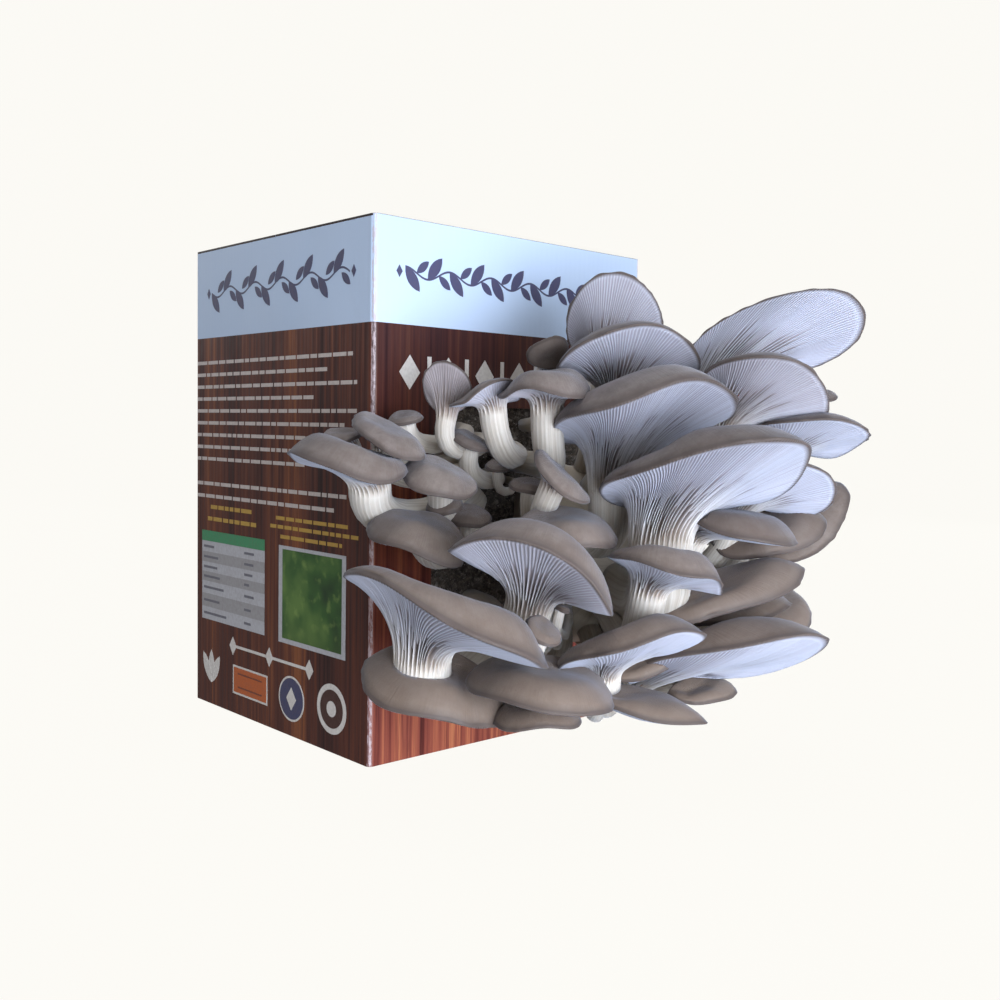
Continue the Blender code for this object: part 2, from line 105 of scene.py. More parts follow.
@dataclass
class Mushroom:
    """One mushroom, in millimetres. Its cap is an oval dish, fixed to its stem at the hub."""
    name: str
    root: tuple           # where the stem leaves the block's face, x and z
    hub: tuple            # the cap's top over its stem
    tip: tuple            # the margin's farthest point
    faces: tuple          # the way the cap's upper side looks
    width: float          # the cap's size across
    back: float           # how far the cap reaches behind its hub
    stem: float           # the stem's radius under the cap
    curl: float = 0.3     # how far the margin turns down, in cap sizes
    arch: float = 0.12    # how far the cap falls to its sides, in widths
    nod: float = 0.1      # how far the cap falls to its tip, in lengths
    flesh: float = 0.5    # how far the gills run down the stem
    lean: float = 0.4     # how far the stem still leans the way it came where it reaches the cap
    taper: float = 0.0    # how much broader the cap is at its tip than behind

    @property
    def length(self):
        return float(np.linalg.norm(np.subtract(self.tip, self.hub)))

    @property
    def size(self):
        return (self.length + self.back + self.width) / 4


MUSHROOMS = [
    Mushroom("top_1", (16, 112), (2, -127, 178), (7, -137, 207), (0.7, 0.7, 0.2), 40, 9, 5, curl=0.15,
        arch=0.05, lean=0.6),
    Mushroom("top_2", (12, 106), (-6, -142, 172), (-17, -163, 192), (0.37, 0.62, 0.7), 58, 10, 7,
        curl=0.32, arch=0.19),
    Mushroom("top_3", (8, 100), (-22, -152, 153), (-19, -195, 176), (0.09, 0.88, 0.7), 66, 24, 9,
        curl=0.33, flesh=0.65, arch=0.16),
    Mushroom("top_4", (20, 84), (-27, -183, 130), (-11, -230, 154), (0.12, 0.79, 0.74), 56, 23, 12,
        curl=0.33, flesh=0.6, arch=0.16),
    Mushroom("right_1", (32, 108), (23, -164, 174), (69, -204, 193), (0.5, 0.9, 0.1), 32, 9, 6,
        curl=0.15, taper=0.3, lean=0.6),
    Mushroom("right_2", (28, 104), (12, -184, 161), (38, -210, 164), (0.3, 0.6, 0.72), 56, 14, 6,
        curl=0.38, lean=0.6),
    Mushroom("right_3", (36, 106), (53, -191, 160), (64, -201, 163), (0.0, -0.2, 1.0), 15, 6, 3.5),
    Mushroom("right_4", (36, 98), (34, -197, 145), (50, -222, 151), (0.4, 0.3, 0.9), 34, 14, 5, lean=0.8),
    Mushroom("right_5", (30, 94), (16, -191, 124), (35, -217, 130), (0.5, 0.5, 0.7), 38, 12, 5, lean=0.8),
    Mushroom("right_6", (28, 88), (-7, -193, 116), (5, -224, 113), (0.15, -0.22, 0.97), 44, 14, 5,
        lean=1.5),
    Mushroom("right_7", (34, 88), (20, -193, 107), (36, -212, 117), (-0.5, -0.1, 0.8), 32, 20, 5,
        lean=1.5),
    Mushroom("right_8", (38, 82), (43, -189, 101), (57, -206, 125), (-0.8, -0.2, 0.6), 30, 12, 5,
        lean=1.5),
    Mushroom("right_9", (30, 78), (-17, -191, 83), (20, -213, 102), (-0.4, 0.0, 0.9), 28, 26, 5,
        flesh=0.35, lean=2.0),
    Mushroom("right_10", (34, 72), (10, -189, 76), (30, -198, 84), (-0.1, 0.15, 0.9), 34, 18, 4,
        flesh=0.3, lean=2.0),
    Mushroom("right_11", (36, 70), (34, -192, 77), (49, -203, 76), (-0.1, -0.5, 0.8), 36, 10, 4.5,
        flesh=0.3, lean=2.0),
    Mushroom("right_12", (28, 68), (-26, -180, 58), (13, -218, 86), (0.0, 0.7, 0.7), 38, 12, 6,
        curl=0.4, lean=2.2, flesh=0.45, taper=0.3, arch=0.18, nod=0.18),
    Mushroom("low_1", (18, 80), (-38, -192, 99), (-30, -216, 101), (0.4, 0.2, 0.9), 40, 16, 7, curl=0.45,
        arch=0.2, flesh=0.55, lean=0.6),
    Mushroom("low_2", (4, 80), (-73, -170, 102), (-91, -192, 117), (0.66, 0.2, 0.8), 60, 12, 9,
        curl=0.4, arch=0.25, flesh=0.7, lean=1.4),
    Mushroom("low_3", (2, 94), (-58, -159, 113), (-67, -181, 109), (-0.3, -0.4, 0.9), 42, 10, 6,
        arch=0.22, lean=0.8),
    Mushroom("low_4", (-26, 62), (-111, -151, 89), (-77, -183, 75), (0.5, -0.03, 0.9), 56, 27, 10.5,
        curl=0.35, flesh=0.62, lean=1.2),
    Mushroom("low_5", (-28, 64), (-94, -137, 59), (-112, -161, 53), (-0.2, -0.68, 0.8), 54, 12, 6,
        flesh=0.35, lean=4.0),
    Mushroom("low_6", (6, 68), (-73, -171, 60), (-92, -192, 60), (-0.2, -0.4, 0.9), 52, 12, 6,
        flesh=0.3, lean=2.0),
    Mushroom("low_7", (6, 64), (-71, -164, 45), (-83, -180, 46), (-0.2, -0.2, 0.9), 31, 8, 4, flesh=0.3,
        lean=2.0),
    Mushroom("low_8", (16, 60), (-48, -178, 47), (-24, -206, 47), (0.05, 0.03, 1.0), 26, 8, 3.5,
        flesh=0.25, lean=1.8),
    Mushroom("low_9", (24, 64), (-9, -184, 44), (10, -192, 48), (-0.3, 0.0, 0.9), 20, 8, 3.5, flesh=0.25,
        lean=3.0),
    Mushroom("low_10", (12, 72), (-54, -182, 68), (-40, -207, 85), (0.05, 0.635, 0.9), 42, 22, 6,
        curl=0.4, lean=1.2, flesh=0.45),
    Mushroom("low_11", (22, 68), (-37, -180, 58), (-21, -190, 69), (-0.6, -0.1, 0.8), 20, 10, 4,
        flesh=0.25, lean=3.0),
    Mushroom("left_1", (-40, 116), (-112, -117, 135), (-136, -113, 144), (0.86, -0.21, 1.0), 44, 16, 8,
        lean=1.0, arch=0.2, curl=0.4),
    Mushroom("left_2", (-40, 126), (-99, -108, 145), (-100, -133, 137), (0.1, -0.95, 0.55), 24, 13, 4.5,
        lean=0.8),
    Mushroom("left_3", (-38, 134), (-105, -92, 141), (-112, -86, 142), (-0.3, 0.0, 1.0), 20, 6, 4,
        lean=1.0),
    Mushroom("left_4", (-32, 114), (-85, -128, 130), (-94, -144, 127), (0.21, -0.32, 0.92), 30, 9, 5,
        lean=0.8, arch=0.28, nod=0.3, curl=0.3),
    Mushroom("left_5", (-38, 100), (-94, -129, 110), (-104, -145, 108), (0.19, -0.29, 0.94), 38, 12, 6,
        lean=2.0, arch=0.26, nod=0.3, curl=0.3),
    Mushroom("left_6", (-34, 142), (-81, -97, 148), (-84, -103, 146), (-0.4, -0.3, 0.9), 14, 6, 4),
    Mushroom("left_7", (-26, 138), (-69, -111, 153), (-72, -114, 169), (0.8, 0.5, 0.1), 20, 5, 4,
        curl=0.2, flesh=0.6),
    Mushroom("left_8", (-14, 134), (-63, -128, 159), (-70, -113, 152), (0.13, 0.37, 0.92), 30, 10, 5.5,
        arch=0.3, nod=0.4),
    Mushroom("left_9", (-4, 128), (-50, -146, 166), (-70, -155, 165), (0.23, 0.21, 0.95), 36, 10, 6.5,
        flesh=0.65, arch=0.35),
    Mushroom("left_10", (4, 144), (-30, -128, 170), (-34, -132, 177), (-0.5, -0.6, 0.7), 18, 6, 4),
    Mushroom("small_1", (-20, 70), (-81, -179, 75), (-82, -186, 70), (0.1, -0.7, 0.7), 14, 6, 3),
    Mushroom("small_2", (-18, 122), (-61, -116, 140), (-66, -125, 137), (0.0, -0.8, 0.7), 17, 6, 4),
    Mushroom("small_3", (-8, 120), (-45, -113, 129), (-47, -119, 127), (0.0, -0.2, 1.0), 10, 4, 2,
        curl=0.5, arch=0.25),
    Mushroom("small_4", (8, 102), (-54, -159, 129), (-55, -176, 118), (0.62, -0.36, 1.0), 26, 10, 5,
        arch=0.2),
    Mushroom("small_5", (4, 100), (-50, -138, 123), (-55, -145, 121), (-0.3, -0.6, 0.7), 16, 5, 3.5),
    Mushroom("small_6", (-26, 106), (-79, -120, 116), (-85, -127, 113), (-0.6, -0.5, 0.6), 14, 6, 4,
        lean=1.0),
    Mushroom("small_7", (-18, 98), (-68, -123, 111), (-72, -130, 108), (-0.2, -0.5, 0.9), 17, 7, 4,
        lean=1.0),
    Mushroom("pin_1", (6, 84), (-63, -169, 79), (-65, -174, 79), (0.1, -0.6, 0.8), 6, 3, 2),
    Mushroom("pin_2", (4, 86), (-64, -165, 80), (-66, -168, 79), (-0.6, -0.3, 0.8), 6, 3, 2),
]


def unit(vector):
    return vector / np.linalg.norm(vector)


def cap_frame(m):
    """The cap's axes: along it from hub to tip, across it, and out of its upper side."""
    along = unit(np.array(m.tip, float) - m.hub)
    up = np.array(m.faces, float)
    up = unit(up - (up @ along) * along)
    return along, np.cross(along, up), up


def rim_waves(angle, phase):
    return 1 + WAVE * np.sin(WAVE_LOBES * angle + phase)


def cap_height(m, x, y, angle, reach, phase):
    """The cap's top above the plane through its hub. reach is 0 at the hub's middle and 1 at the margin."""
    side_fall = m.arch * m.width * (y / (m.width / 2)) ** 2
    tip_fall = m.nod * m.length * np.clip(x / m.length, 0, None) ** 2
    away_from_stem = 1 - BACK_FLATNESS * (1 - np.cos(angle)) / 2
    turned_down = m.curl * m.size * np.clip((reach - CURL_START) / (1 - CURL_START), 0, None) ** CURL_POWER
    ripple = WAVE * m.size * reach ** 2 * np.sin(RIPPLE_LOBES * angle + RIPPLE_SHIFT * phase)
    return ripple - side_fall * away_from_stem - tip_fall - turned_down * away_from_stem


def gill_depth(m):
    return GILL_RUN * m.flesh * m.size


def stem_heading(m):
    """The way the stem points where it reaches the cap: up, partly square to the cap, and partly onwards."""
    way = unit(np.array(m.hub, float) - (m.root[0], ROOT_PLANE, m.root[1]))
    return unit(np.array((0, 0, 1)) + SQUARE_UNDER_CAP * cap_frame(m)[2] + m.lean * way)


def stem_top(m):
    return np.array(m.hub, float) - gill_depth(m) * stem_heading(m)


def lifted(m, points, least):
    """The points, raised smoothly along the stem's heading so that none is lower than least over its top."""
    heading = stem_heading(m)
    over = (points - stem_top(m)) @ heading
    softness = LIFT_SOFTNESS * m.size
    raised = (over + least + np.sqrt((over - least) ** 2 + softness ** 2)) / 2
    return points + np.outer(raised - over, heading)


def cap_point(m, x, y, height):
    along, across, up = cap_frame(m)
    return np.array(m.hub, float) + np.outer(x, along) + np.outer(y, across) + np.outer(height, up)


def rim_outline(m, angle, phase):
    x = (m.length - m.back) / 2 + (m.length + m.back) / 2 * np.cos(angle) * rim_waves(angle, phase)
    y = m.width / 2 * np.sin(angle) * (1 + m.taper * np.cos(angle)) * rim_waves(angle, phase)
    return x, y


def turned(vectors, before, after):
    """The vectors after the least turn that takes one direction to another."""
    axis = np.cross(before, after)
    sine = np.linalg.norm(axis)
    if sine < TINY:
        return vectors
    axis = axis / sine
    cosine = before @ after
    return [v * cosine + np.cross(axis, v) * sine + axis * (axis @ v) * (1 - cosine) for v in vectors]


def circle(middle, radius, angle, axes):
    return middle + np.outer(radius * np.cos(angle), axes[0]) + np.outer(radius * np.sin(angle), axes[1])


def margin_edge(m):
    return max(MARGIN_EDGE * m.size, THINNEST_MARGIN)


def gill_ring(m, angle, phase, rise):
    """A ring of the underside, which flares from the stem's top at rise 0 to the margin at rise 1."""
    along, across, up = cap_frame(m)
    heading = stem_heading(m)
    depth = gill_depth(m)
    low = circle(stem_top(m), m.stem, angle, turned((along, across), up, heading))
    flare = low + GILL_RISE * depth * heading
    rim_x, rim_y = rim_outline(m, angle, phase)
    edge = margin_edge(m)
    height = cap_height(m, rim_x, rim_y, angle, 1, phase)
    margin = lifted(m, cap_point(m, rim_x, rim_y, height - edge), LEAST_LIFT * depth)
    inner = (1 - GILL_SPREAD) * rim_x, (1 - GILL_SPREAD) * rim_y
    crease = lifted(m, cap_point(m, *inner, height - edge - GILL_DROP * m.size), LEAST_LIFT * depth)
    return curve_point((low, flare, crease, margin), rise)


def top_ring(m, angle, phase, reach):
    rim_x, rim_y = rim_outline(m, angle, phase)
    x, y = rim_x * reach, rim_y * reach
    dip = HUB_DIP * m.size * (1 - reach ** 2) * np.exp(-(np.hypot(x, y) / (HUB_DIP_REACH * m.size)) ** 2)
    least = LEAST_LIFT * gill_depth(m) + margin_edge(m) + FLESH_OVER_STEM * m.size * (1 - reach)
    return lifted(m, cap_point(m, x, y, cap_height(m, x, y, angle, reach, phase) - dip), least)


def curve_point(ends, t):
    a, b, c, d = ends
    return (1 - t) ** 3 * a + 3 * (1 - t) ** 2 * t * b + 3 * (1 - t) * t ** 2 * c + t ** 3 * d


def curve_heading(ends, t):
    a, b, c, d = ends
    return unit((1 - t) ** 2 * (b - a) + 2 * (1 - t) * t * (c - b) + t ** 2 * (d - c))


def stem_curve(m):
    """The stem's middle line: straight out of the block, then bending up to the cap."""
    heading = stem_heading(m)
    end = stem_top(m)
    root = np.array((m.root[0], ROOT_PLANE, m.root[1]), float)
    span = np.linalg.norm(end - root)
    outward = np.array((0, -1, 0)) * span * STEM_OUTWARD
    return root, root + outward, end - heading * span * STEM_ARRIVAL, end


def stem_rings(m, angle, count):
    """Rings from the root to just under the cap, turned so that they meet the cap's own points."""
    ends = stem_curve(m)
    up = cap_frame(m)[2]
    heading = stem_heading(m)
    axes = turned(cap_frame(m)[:2], up, heading)
    rings = []
    for step in range(count, -1, -1):
        t = 1 - (1 - step / count) ** STEM_SPACING
        new_heading = curve_heading(ends, t)
        axes = turned(axes, heading, new_heading)
        heading = new_heading
        radius = m.stem * (ROOT_TAPER + (1 - ROOT_TAPER) * t)
        rings.insert(0, circle(curve_point(ends, t), radius, angle, axes))
    return rings


# Fine mushrooms: their rings, as a fewest and as many more for each millimetre of size, gills, stems and caps
GILL_RINGS = (8, 0.42)
STEM_RINGS = (6, 0.35)
CAP_RINGS = (6, 0.28)
FEWEST_GILLS = 8
GILL_SPACING = 1.25
SAMPLES_PER_GILL = 4
GILL_WARPS = ((0.022, 1, 5), (0.014, 2, 11))
GILL_BLADE = 0.27
GILL_HEIGHTS = (0.75, 1)
DEEPEST_GILL = 0.085
DEEP_FROM = 0.2
SHALLOWER = 0.8
SHALLOWER_OVER = (0.18, 0.72)
MARGIN_FADE = 0.9
MARGIN_FADE_FROM = 0.96
SECOND_GILLS_FROM = (0.12, 0.42)
THIRD_GILLS_FROM = (0.35, 0.75)
GILL_START_BLUR = 0.06
FLESH_KEPT = 0.3
# Depth in millimetres at which the painted shade in the gill gaps is full
GAP_SHADE_DEPTH = 0.8
STEM_RIDGE = 0.16
STEM_KNOB = 0.05
STEM_KNOB_LENGTH = 9
MARGIN_LIP = 0.3
MARGIN_FRAY = 0.018
FRAY_LENGTH = 0.35
CAP_SWELL = 0.018
CAP_SWELL_LENGTH = 0.9
CAP_FIBRE = 0.1
TONE_SPREAD = 0.4
DRAW_SEED, SWELL_SEED, KNOB_SEED, FRAY_SEED = 100, 300, 500, 700
GUARD_AROUND = 48
GUARD_STEPS = 8
GUARD_SHRINK = 0.25
# Painted shade per cap: darker for caps that lie in shade among the others, lighter where the value is negative
CAP_PAINTED_SHADE = {"right_6": 0.8, "right_7": 1, "right_8": 0.8, "right_9": 1, "right_10": 1, "right_11": 0.6,
           "left_2": -0.5, "left_4": -0.5, "left_6": 0.8, "left_7": 0.8, "left_8": 0.5, "left_10": 1,
           "small_2": 0.8, "small_6": 0.9, "small_7": 0.9, "low_7": 0.5, "low_11": 0.6}
# Gills painted browner and darker: partly older gills turning brown, partly painted shade on gills that lie in
# shade, such as left_7's
GILL_SHADE_AND_BROWNING = {"top_1": 0.3, "top_2": 0.15, "right_2": 0.35, "low_1": 0.1, "low_2": 0.3, "low_4": 0.1,
                 "left_7": 0.85, "left_8": 0.35, "left_9": 0.5, "left_1": 0.15, "small_4": 0.7}


class Lumps:
    """A smooth random height: a few waves in random directions, of about the given length in millimetres."""
    def __init__(self, seed, length, count=8):
        draw = np.random.default_rng(seed)
        self.ways = draw.normal(size=(count, 3)) * 2 * math.pi / length / math.sqrt(3)
        self.starts = draw.uniform(0, 2 * math.pi, count)

    def __call__(self, points):
        return np.sin(np.asarray(points) @ self.ways.T + self.starts).sum(-1) / math.sqrt(len(self.starts))


def smooth(low, high, x):
    t = np.clip((x - low) / (high - low), 0, 1)
    return t * t * (3 - 2 * t)


def strip(lower, upper):
    """Faces between two closed rings of point numbers. One may have twice as many points as the other."""
    n, k = len(lower), len(upper)
    if n == k:
        return [(lower[i], lower[(i + 1) % n], upper[(i + 1) % n], upper[i]) for i in range(n)]
    faces = []
    if k == 2 * n:
        for i in range(n):
            j, a, b, c = (i + 1) % n, 2 * i, 2 * i + 1, (2 * i + 2) % k
            p, q = lower[i], lower[j]
            faces += [(p, q, upper[b]), (p, upper[b], upper[a]), (q, upper[c], upper[b])]
    else:
        for i in range(k):
            j, a, b, c = (i + 1) % k, 2 * i, 2 * i + 1, (2 * i + 2) % n
            p, q = upper[i], upper[j]
            faces += [(lower[a], lower[b], p), (lower[b], lower[c], q), (lower[b], q, p)]
    return faces


def closed_rings(rings):
    """Points and faces of a closed shape through rings, with a flat first end and a fan on the last ring."""
    points = np.concatenate(rings)
    starts = np.cumsum([0] + [len(ring) for ring in rings])
    numbers = [list(range(a, b)) for a, b in zip(starts, starts[1:])]
    faces = [face for lower, upper in zip(numbers, numbers[1:]) for face in strip(lower, upper)]
    faces.append(tuple(numbers[0][::-1]))
    last = numbers[-1]
    points = np.vstack((points, rings[-1].mean(0)))
    faces += [(last[i], last[(i + 1) % len(last)], len(points) - 1) for i in range(len(last))]
    fans = np.array([(f[0], f[i], f[i + 1]) for f in faces for i in range(1, len(f) - 1)])
    a, b, c = points[fans[:, 0]], points[fans[:, 1]], points[fans[:, 2]]
    if np.einsum("ij,ij->i", a, np.cross(b, c)).sum() < 0:
        faces = [face[::-1] for face in faces]
    return points, faces


def mesh_piece(name, points, faces, material=None, seen=True, smooth_shaded=True):
    mesh = bpy.data.meshes.new(name)
    mesh.from_pydata(points * MM, [], faces)
    if smooth_shaded:
        mesh.shade_smooth()
    piece = bpy.data.objects.new(name, mesh)
    if seen:
        bpy.context.scene.collection.objects.link(piece)
    if material:
        mesh.materials.append(material)
    return piece


def set_vectors(mesh, name, values):
    layer = mesh.attributes.new(name, "FLOAT_VECTOR", "POINT")
    layer.data.foreach_set("vector", np.ascontiguousarray(values, np.float32).ravel())


def blade(distance):
    return np.exp(-(distance / GILL_BLADE) ** 2)


def spokes(points, middle):
    """Unit vectors from the middle to the points."""
    away = points - middle
    return away / np.linalg.norm(away, axis=1, keepdims=True)


def ring_count(m, fewest, more):
    return fewest + round(more * m.size)


def outward_of(surface, m):
    """Unit normals of the underside's rings, which point out of the flesh."""
    along = np.gradient(surface, axis=0)
    round_it = np.roll(surface, -1, 1) - np.roll(surface, 1, 1)
    normal = np.cross(round_it, along)
    normal /= np.linalg.norm(normal, axis=2, keepdims=True) + TINY
    down = -(cap_frame(m)[2] + stem_heading(m))
    return normal * (1 if (normal[2 * len(surface) // 3] @ down).mean() > 0 else -1)


def gilled_underside(m, phase, angle, rise, draw):
    """The underside's rings with gaps between the gills, the painted shade in the gaps, and the stem's ridges.
    """
    starts = draw.uniform(0, 2 * math.pi, len(GILL_WARPS))
    rings = []
    for t in rise:
        warp = sum(far * math.sin(along * math.pi * t) * np.sin(around * angle + start)
                   for (far, along, around), start in zip(GILL_WARPS, starts))
        rings.append(gill_ring(m, angle + warp, phase, t))
    underside = np.array(rings)
    top = np.array([top_ring(m, angle, phase, reach) for reach in np.linspace(1, 0.05, 12)])
    flesh = np.array([np.linalg.norm(top - ring, axis=2).min(0) for ring in underside])
    inner_depth = smooth(0, DEEP_FROM, rise) * (1 - SHALLOWER * smooth(*SHALLOWER_OVER, rise))
    deepest = STEM_RIDGE + (DEEPEST_GILL * m.size - STEM_RIDGE) * inner_depth[:, None]
    deep = np.minimum(deepest, np.clip(0.5 * flesh - FLESH_KEPT, 0, None))
    deep = deep * (1 - MARGIN_FADE * smooth(MARGIN_FADE_FROM, 1, rise))[:, None]

    count = len(angle)
    number = np.arange(count)
    spacing = 4 * SAMPLES_PER_GILL
    middle, quarter = spacing // 2, spacing // 4
    step = np.linalg.norm(np.roll(underside, -1, 1) - underside, axis=2).mean(1)[:, None]

    def blades(every, shift):
        """The gills' height, with one gill at every so many points of a ring."""
        return blade(np.minimum((number + shift) % every, -(number + shift) % every) * step)

    def drawn(limits, every, shift):
        """A random number for each group of neighbouring points."""
        return draw.uniform(*limits, count // every)[(number + shift) // every % (count // every)]

    def begun(gills, start):
        return gills * smooth(start - GILL_START_BLUR, start + GILL_START_BLUR, rise[:, None])

    first = blades(spacing, 0)
    second = begun(blades(spacing, middle), drawn(SECOND_GILLS_FROM, middle, middle // 2))
    third = begun(blades(middle, quarter), drawn(THIRD_GILLS_FROM, middle, 0))
    edge = np.maximum(first, np.maximum(second, third)) * drawn(GILL_HEIGHTS, quarter, quarter // 2)
    groove = (1 - edge) * deep
    # Painted shade in the gaps between the gills, growing with their depth
    gap_shade = (1 - edge) * np.clip(deep / GAP_SHADE_DEPTH, 0, 1)
    return underside - outward_of(underside, m) * groove[..., None], gap_shade, first[0]


def fine_mushroom(m, index):
    """A mushroom with its gills: points, faces, and each point's stage of growth, painted shade and colour
    markings.
    """
    phase = PHASE_STEP * index
    draw = np.random.default_rng(DRAW_SEED + index)
    primaries = max(FEWEST_GILLS, round(2 * math.pi * m.size / (4 * GILL_SPACING)))
    angle = np.linspace(0, 2 * math.pi, 4 * primaries * SAMPLES_PER_GILL, endpoint=False)
    rise = np.linspace(0, 1, ring_count(m, *GILL_RINGS) + 1)
    gills, gap_shade, first = gilled_underside(m, phase, angle, rise, draw)
    # Each cap's darkening: its listed painted shade plus a random spread
    cap_shade_and_tone = CAP_PAINTED_SHADE.get(m.name, 0) + draw.uniform(-TONE_SPREAD, TONE_SPREAD)
    gill_shade_and_browning = GILL_SHADE_AND_BROWNING.get(m.name, 0)
    rings, growth, shade_and_marks = [], [], []

    def add(points, stage, hollow_shade, every):
        """One more ring, of every so many of the points."""
        turn = angle[::every]
        count = len(turn)
        rings.append(points[::every])
        growth.append(np.column_stack((np.cos(turn), np.sin(turn), np.full(count, stage))))
        shade_and_marks.append(np.column_stack((hollow_shade[::every], np.full(count, cap_shade_and_tone), np.full(count, gill_shade_and_browning))))

    # Stem: the gills run down it as low ridges, with painted shade in the hollows between them
    stem_count = ring_count(m, *STEM_RINGS)
    knobs = Lumps(KNOB_SEED + index, STEM_KNOB_LENGTH)
    for k, ring in enumerate(stem_rings(m, angle, stem_count)[:-1]):
        t = 1 - (1 - k / stem_count) ** STEM_SPACING
        ridge = STEM_RIDGE * (0.35 + 0.65 * t ** 2) * np.minimum(1, m.stem / 5)
        knob = STEM_KNOB * m.stem * knobs(ring) * min(1, 4 * (1 - t))
        shape = ring + spokes(ring, ring.mean(0)) * (knob - (1 - first) * ridge)[:, None]
        add(shape, t, (1 - first) * 0.25 * t, SAMPLES_PER_GILL)
    add(gills[0], 1, gap_shade[0] * 0.6, SAMPLES_PER_GILL)
    add(gills[1], 1 + rise[1], gap_shade[1], SAMPLES_PER_GILL // 2)
    for k in range(2, len(rise)):
        add(gills[k], 1 + rise[k], gap_shade[k], 1)

    # Margin and cap
    nothing = np.zeros(len(angle))
    upper = top_ring(m, angle, phase, 1)
    spoke = spokes(gills[-1], np.array(m.hub, float))
    fray = MARGIN_FRAY * m.size * Lumps(FRAY_SEED + index, FRAY_LENGTH * m.size)(upper)[:, None]
    lip = MARGIN_LIP * margin_edge(m)
    add((gills[-1] + upper) / 2 + spoke * (lip + fray), 2, nothing, 1)
    fibres = CAP_FIBRE * np.sin(angle * primaries * 0.5 + 2 * np.sin(3 * angle))
    uneven = Lumps(SWELL_SEED + index, CAP_SWELL_LENGTH * m.size)
    cap_count = ring_count(m, *CAP_RINGS)
    for k in range(cap_count):
        reach = 1 - (k / cap_count) ** CAP_SPACING
        ring = top_ring(m, angle, phase, reach)
        if k == 0:
            ring = ring - spoke * (lip - 0.7 * fray)
        swell = CAP_SWELL * m.size * uneven(ring) * (1 - reach ** 8) + fibres * reach * (1 - reach)
        add(ring + np.outer(swell, cap_frame(m)[2]), 3 - reach, nothing, 2 if k == 0 else 4)
    points, faces = closed_rings(rings)
    growth = np.vstack((np.concatenate(growth), (0, 0, 3)))
    shade_and_marks = np.vstack((np.concatenate(shade_and_marks), (0, cap_shade_and_tone, gill_shade_and_browning)))
    return points, faces, growth, shade_and_marks


def guard_mesh(m, index):
    """A plainer copy. Where another mushroom would run through it, that one ends inside its skin."""
    phase = PHASE_STEP * index
    angle = np.linspace(0, 2 * math.pi, GUARD_AROUND, endpoint=False)
    steps = np.arange(GUARD_STEPS) / GUARD_STEPS
    rings = stem_rings(m, angle, GUARD_STEPS)
    rings += [gill_ring(m, angle, phase, t + 1 / GUARD_STEPS) for t in steps]
    rings += [top_ring(m, angle, phase, 1 - t ** CAP_SPACING) for t in steps]
    return closed_rings(rings)


def shrunk(piece):
    mesh = piece.data
    normals = np.empty(3 * len(mesh.vertices))
    mesh.vertex_normals.foreach_get("vector", normals)
    places = np.empty_like(normals)
    mesh.vertices.foreach_get("co", places)
    mesh.vertices.foreach_set("co", places - normals * GUARD_SHRINK * MM)
    mesh.update()
    return piece


def tree_of(piece):
    mesh = piece.data
    return BVHTree.FromPolygons([v.co for v in mesh.vertices], [tuple(f.vertices) for f in mesh.polygons])


def piece_labels(count, edges):
    """For each point, the lowest number among the points that it is joined to."""
    label = np.arange(count)
    while True:
        low = np.minimum(label[edges[:, 0]], label[edges[:, 1]])
        new = label.copy()
        np.minimum.at(new, edges[:, 0], low)
        np.minimum.at(new, edges[:, 1], low)
        new = new[new]
        if (new == label).all():
            return label
        label = new


def cut_piece(piece, guards, tip):
    """Ends the piece at the guards, and keeps what is joined to its cap's tip."""
    for guard in guards:
        bpy.context.scene.collection.objects.link(guard)
        modifier = piece.modifiers.new(guard.name, "BOOLEAN")
        modifier.operation = "DIFFERENCE"
        modifier.solver = "MANIFOLD"
        modifier.object = guard
    seen = piece.evaluated_get(bpy.context.evaluated_depsgraph_get())
    mesh = bpy.data.meshes.new_from_object(seen)
    piece.modifiers.clear()
    for guard in guards:
        bpy.context.scene.collection.objects.unlink(guard)
    places = np.empty(3 * len(mesh.vertices))
    mesh.vertices.foreach_get("co", places)
    places = places.reshape(-1, 3)
    edges = np.empty(2 * len(mesh.edges), np.int64)
    mesh.edges.foreach_get("vertices", edges)
    label = piece_labels(len(places), edges.reshape(-1, 2))
    near = np.linalg.norm(places - tip, axis=1).argmin()
    kept = label == label[near]
    number = np.cumsum(kept) - 1
    faces = [tuple(number[v] for v in face.vertices) for face in mesh.polygons if kept[face.vertices[0]]]
    return places[kept] / MM, faces


def make_mushrooms(material, foot_guard):
    guards = [foot_guard]
    trees = [tree_of(foot_guard)]
    for index, m in enumerate(MUSHROOMS):
        name = "mushroom_" + m.name
        guard = shrunk(mesh_piece("guard_" + m.name, *guard_mesh(m, index), seen=False))
        tree = tree_of(guard)
        met = [other for other, its_tree in zip(guards, trees) if tree.overlap(its_tree)]
        points, faces, growth, shade_and_marks = fine_mushroom(m, index)
        piece = mesh_piece("grown_" + m.name, points, faces, material)
        if met:
            finder = KDTree(len(points))
            for number, point in enumerate(points):
                finder.insert(point, number)
            finder.balance()
            new_points, new_faces = cut_piece(piece, met, np.array(m.tip) * MM)
            source = [finder.find(point)[1] for point in new_points]
            bpy.data.objects.remove(piece)
            piece = mesh_piece("grown_" + m.name, new_points, new_faces, material)
            growth, shade_and_marks = growth[source], shade_and_marks[source]
        set_vectors(piece.data, "growth", growth)
        set_vectors(piece.data, "shade_and_marks", shade_and_marks)
        guards.append(guard)
        trees.append(tree)
        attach(piece, "root")
        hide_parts(name)


# Foot and growing medium
FOOT_DETAIL = (60, 160)
FOOT_GUARD_DETAIL = (20, 48)
FOOT_STAGE = 0.35
CRUMB_STEP = 0.62
CRUMB_DEPTH = 3.2
CRUMB_FADE = 7
CRUMB_SEED = 3
CRUMB_CLEARANCE = 0.5
SWELLS_APART = 14
CLOD_SIZE = 5
GRAIN_SIZE = 2


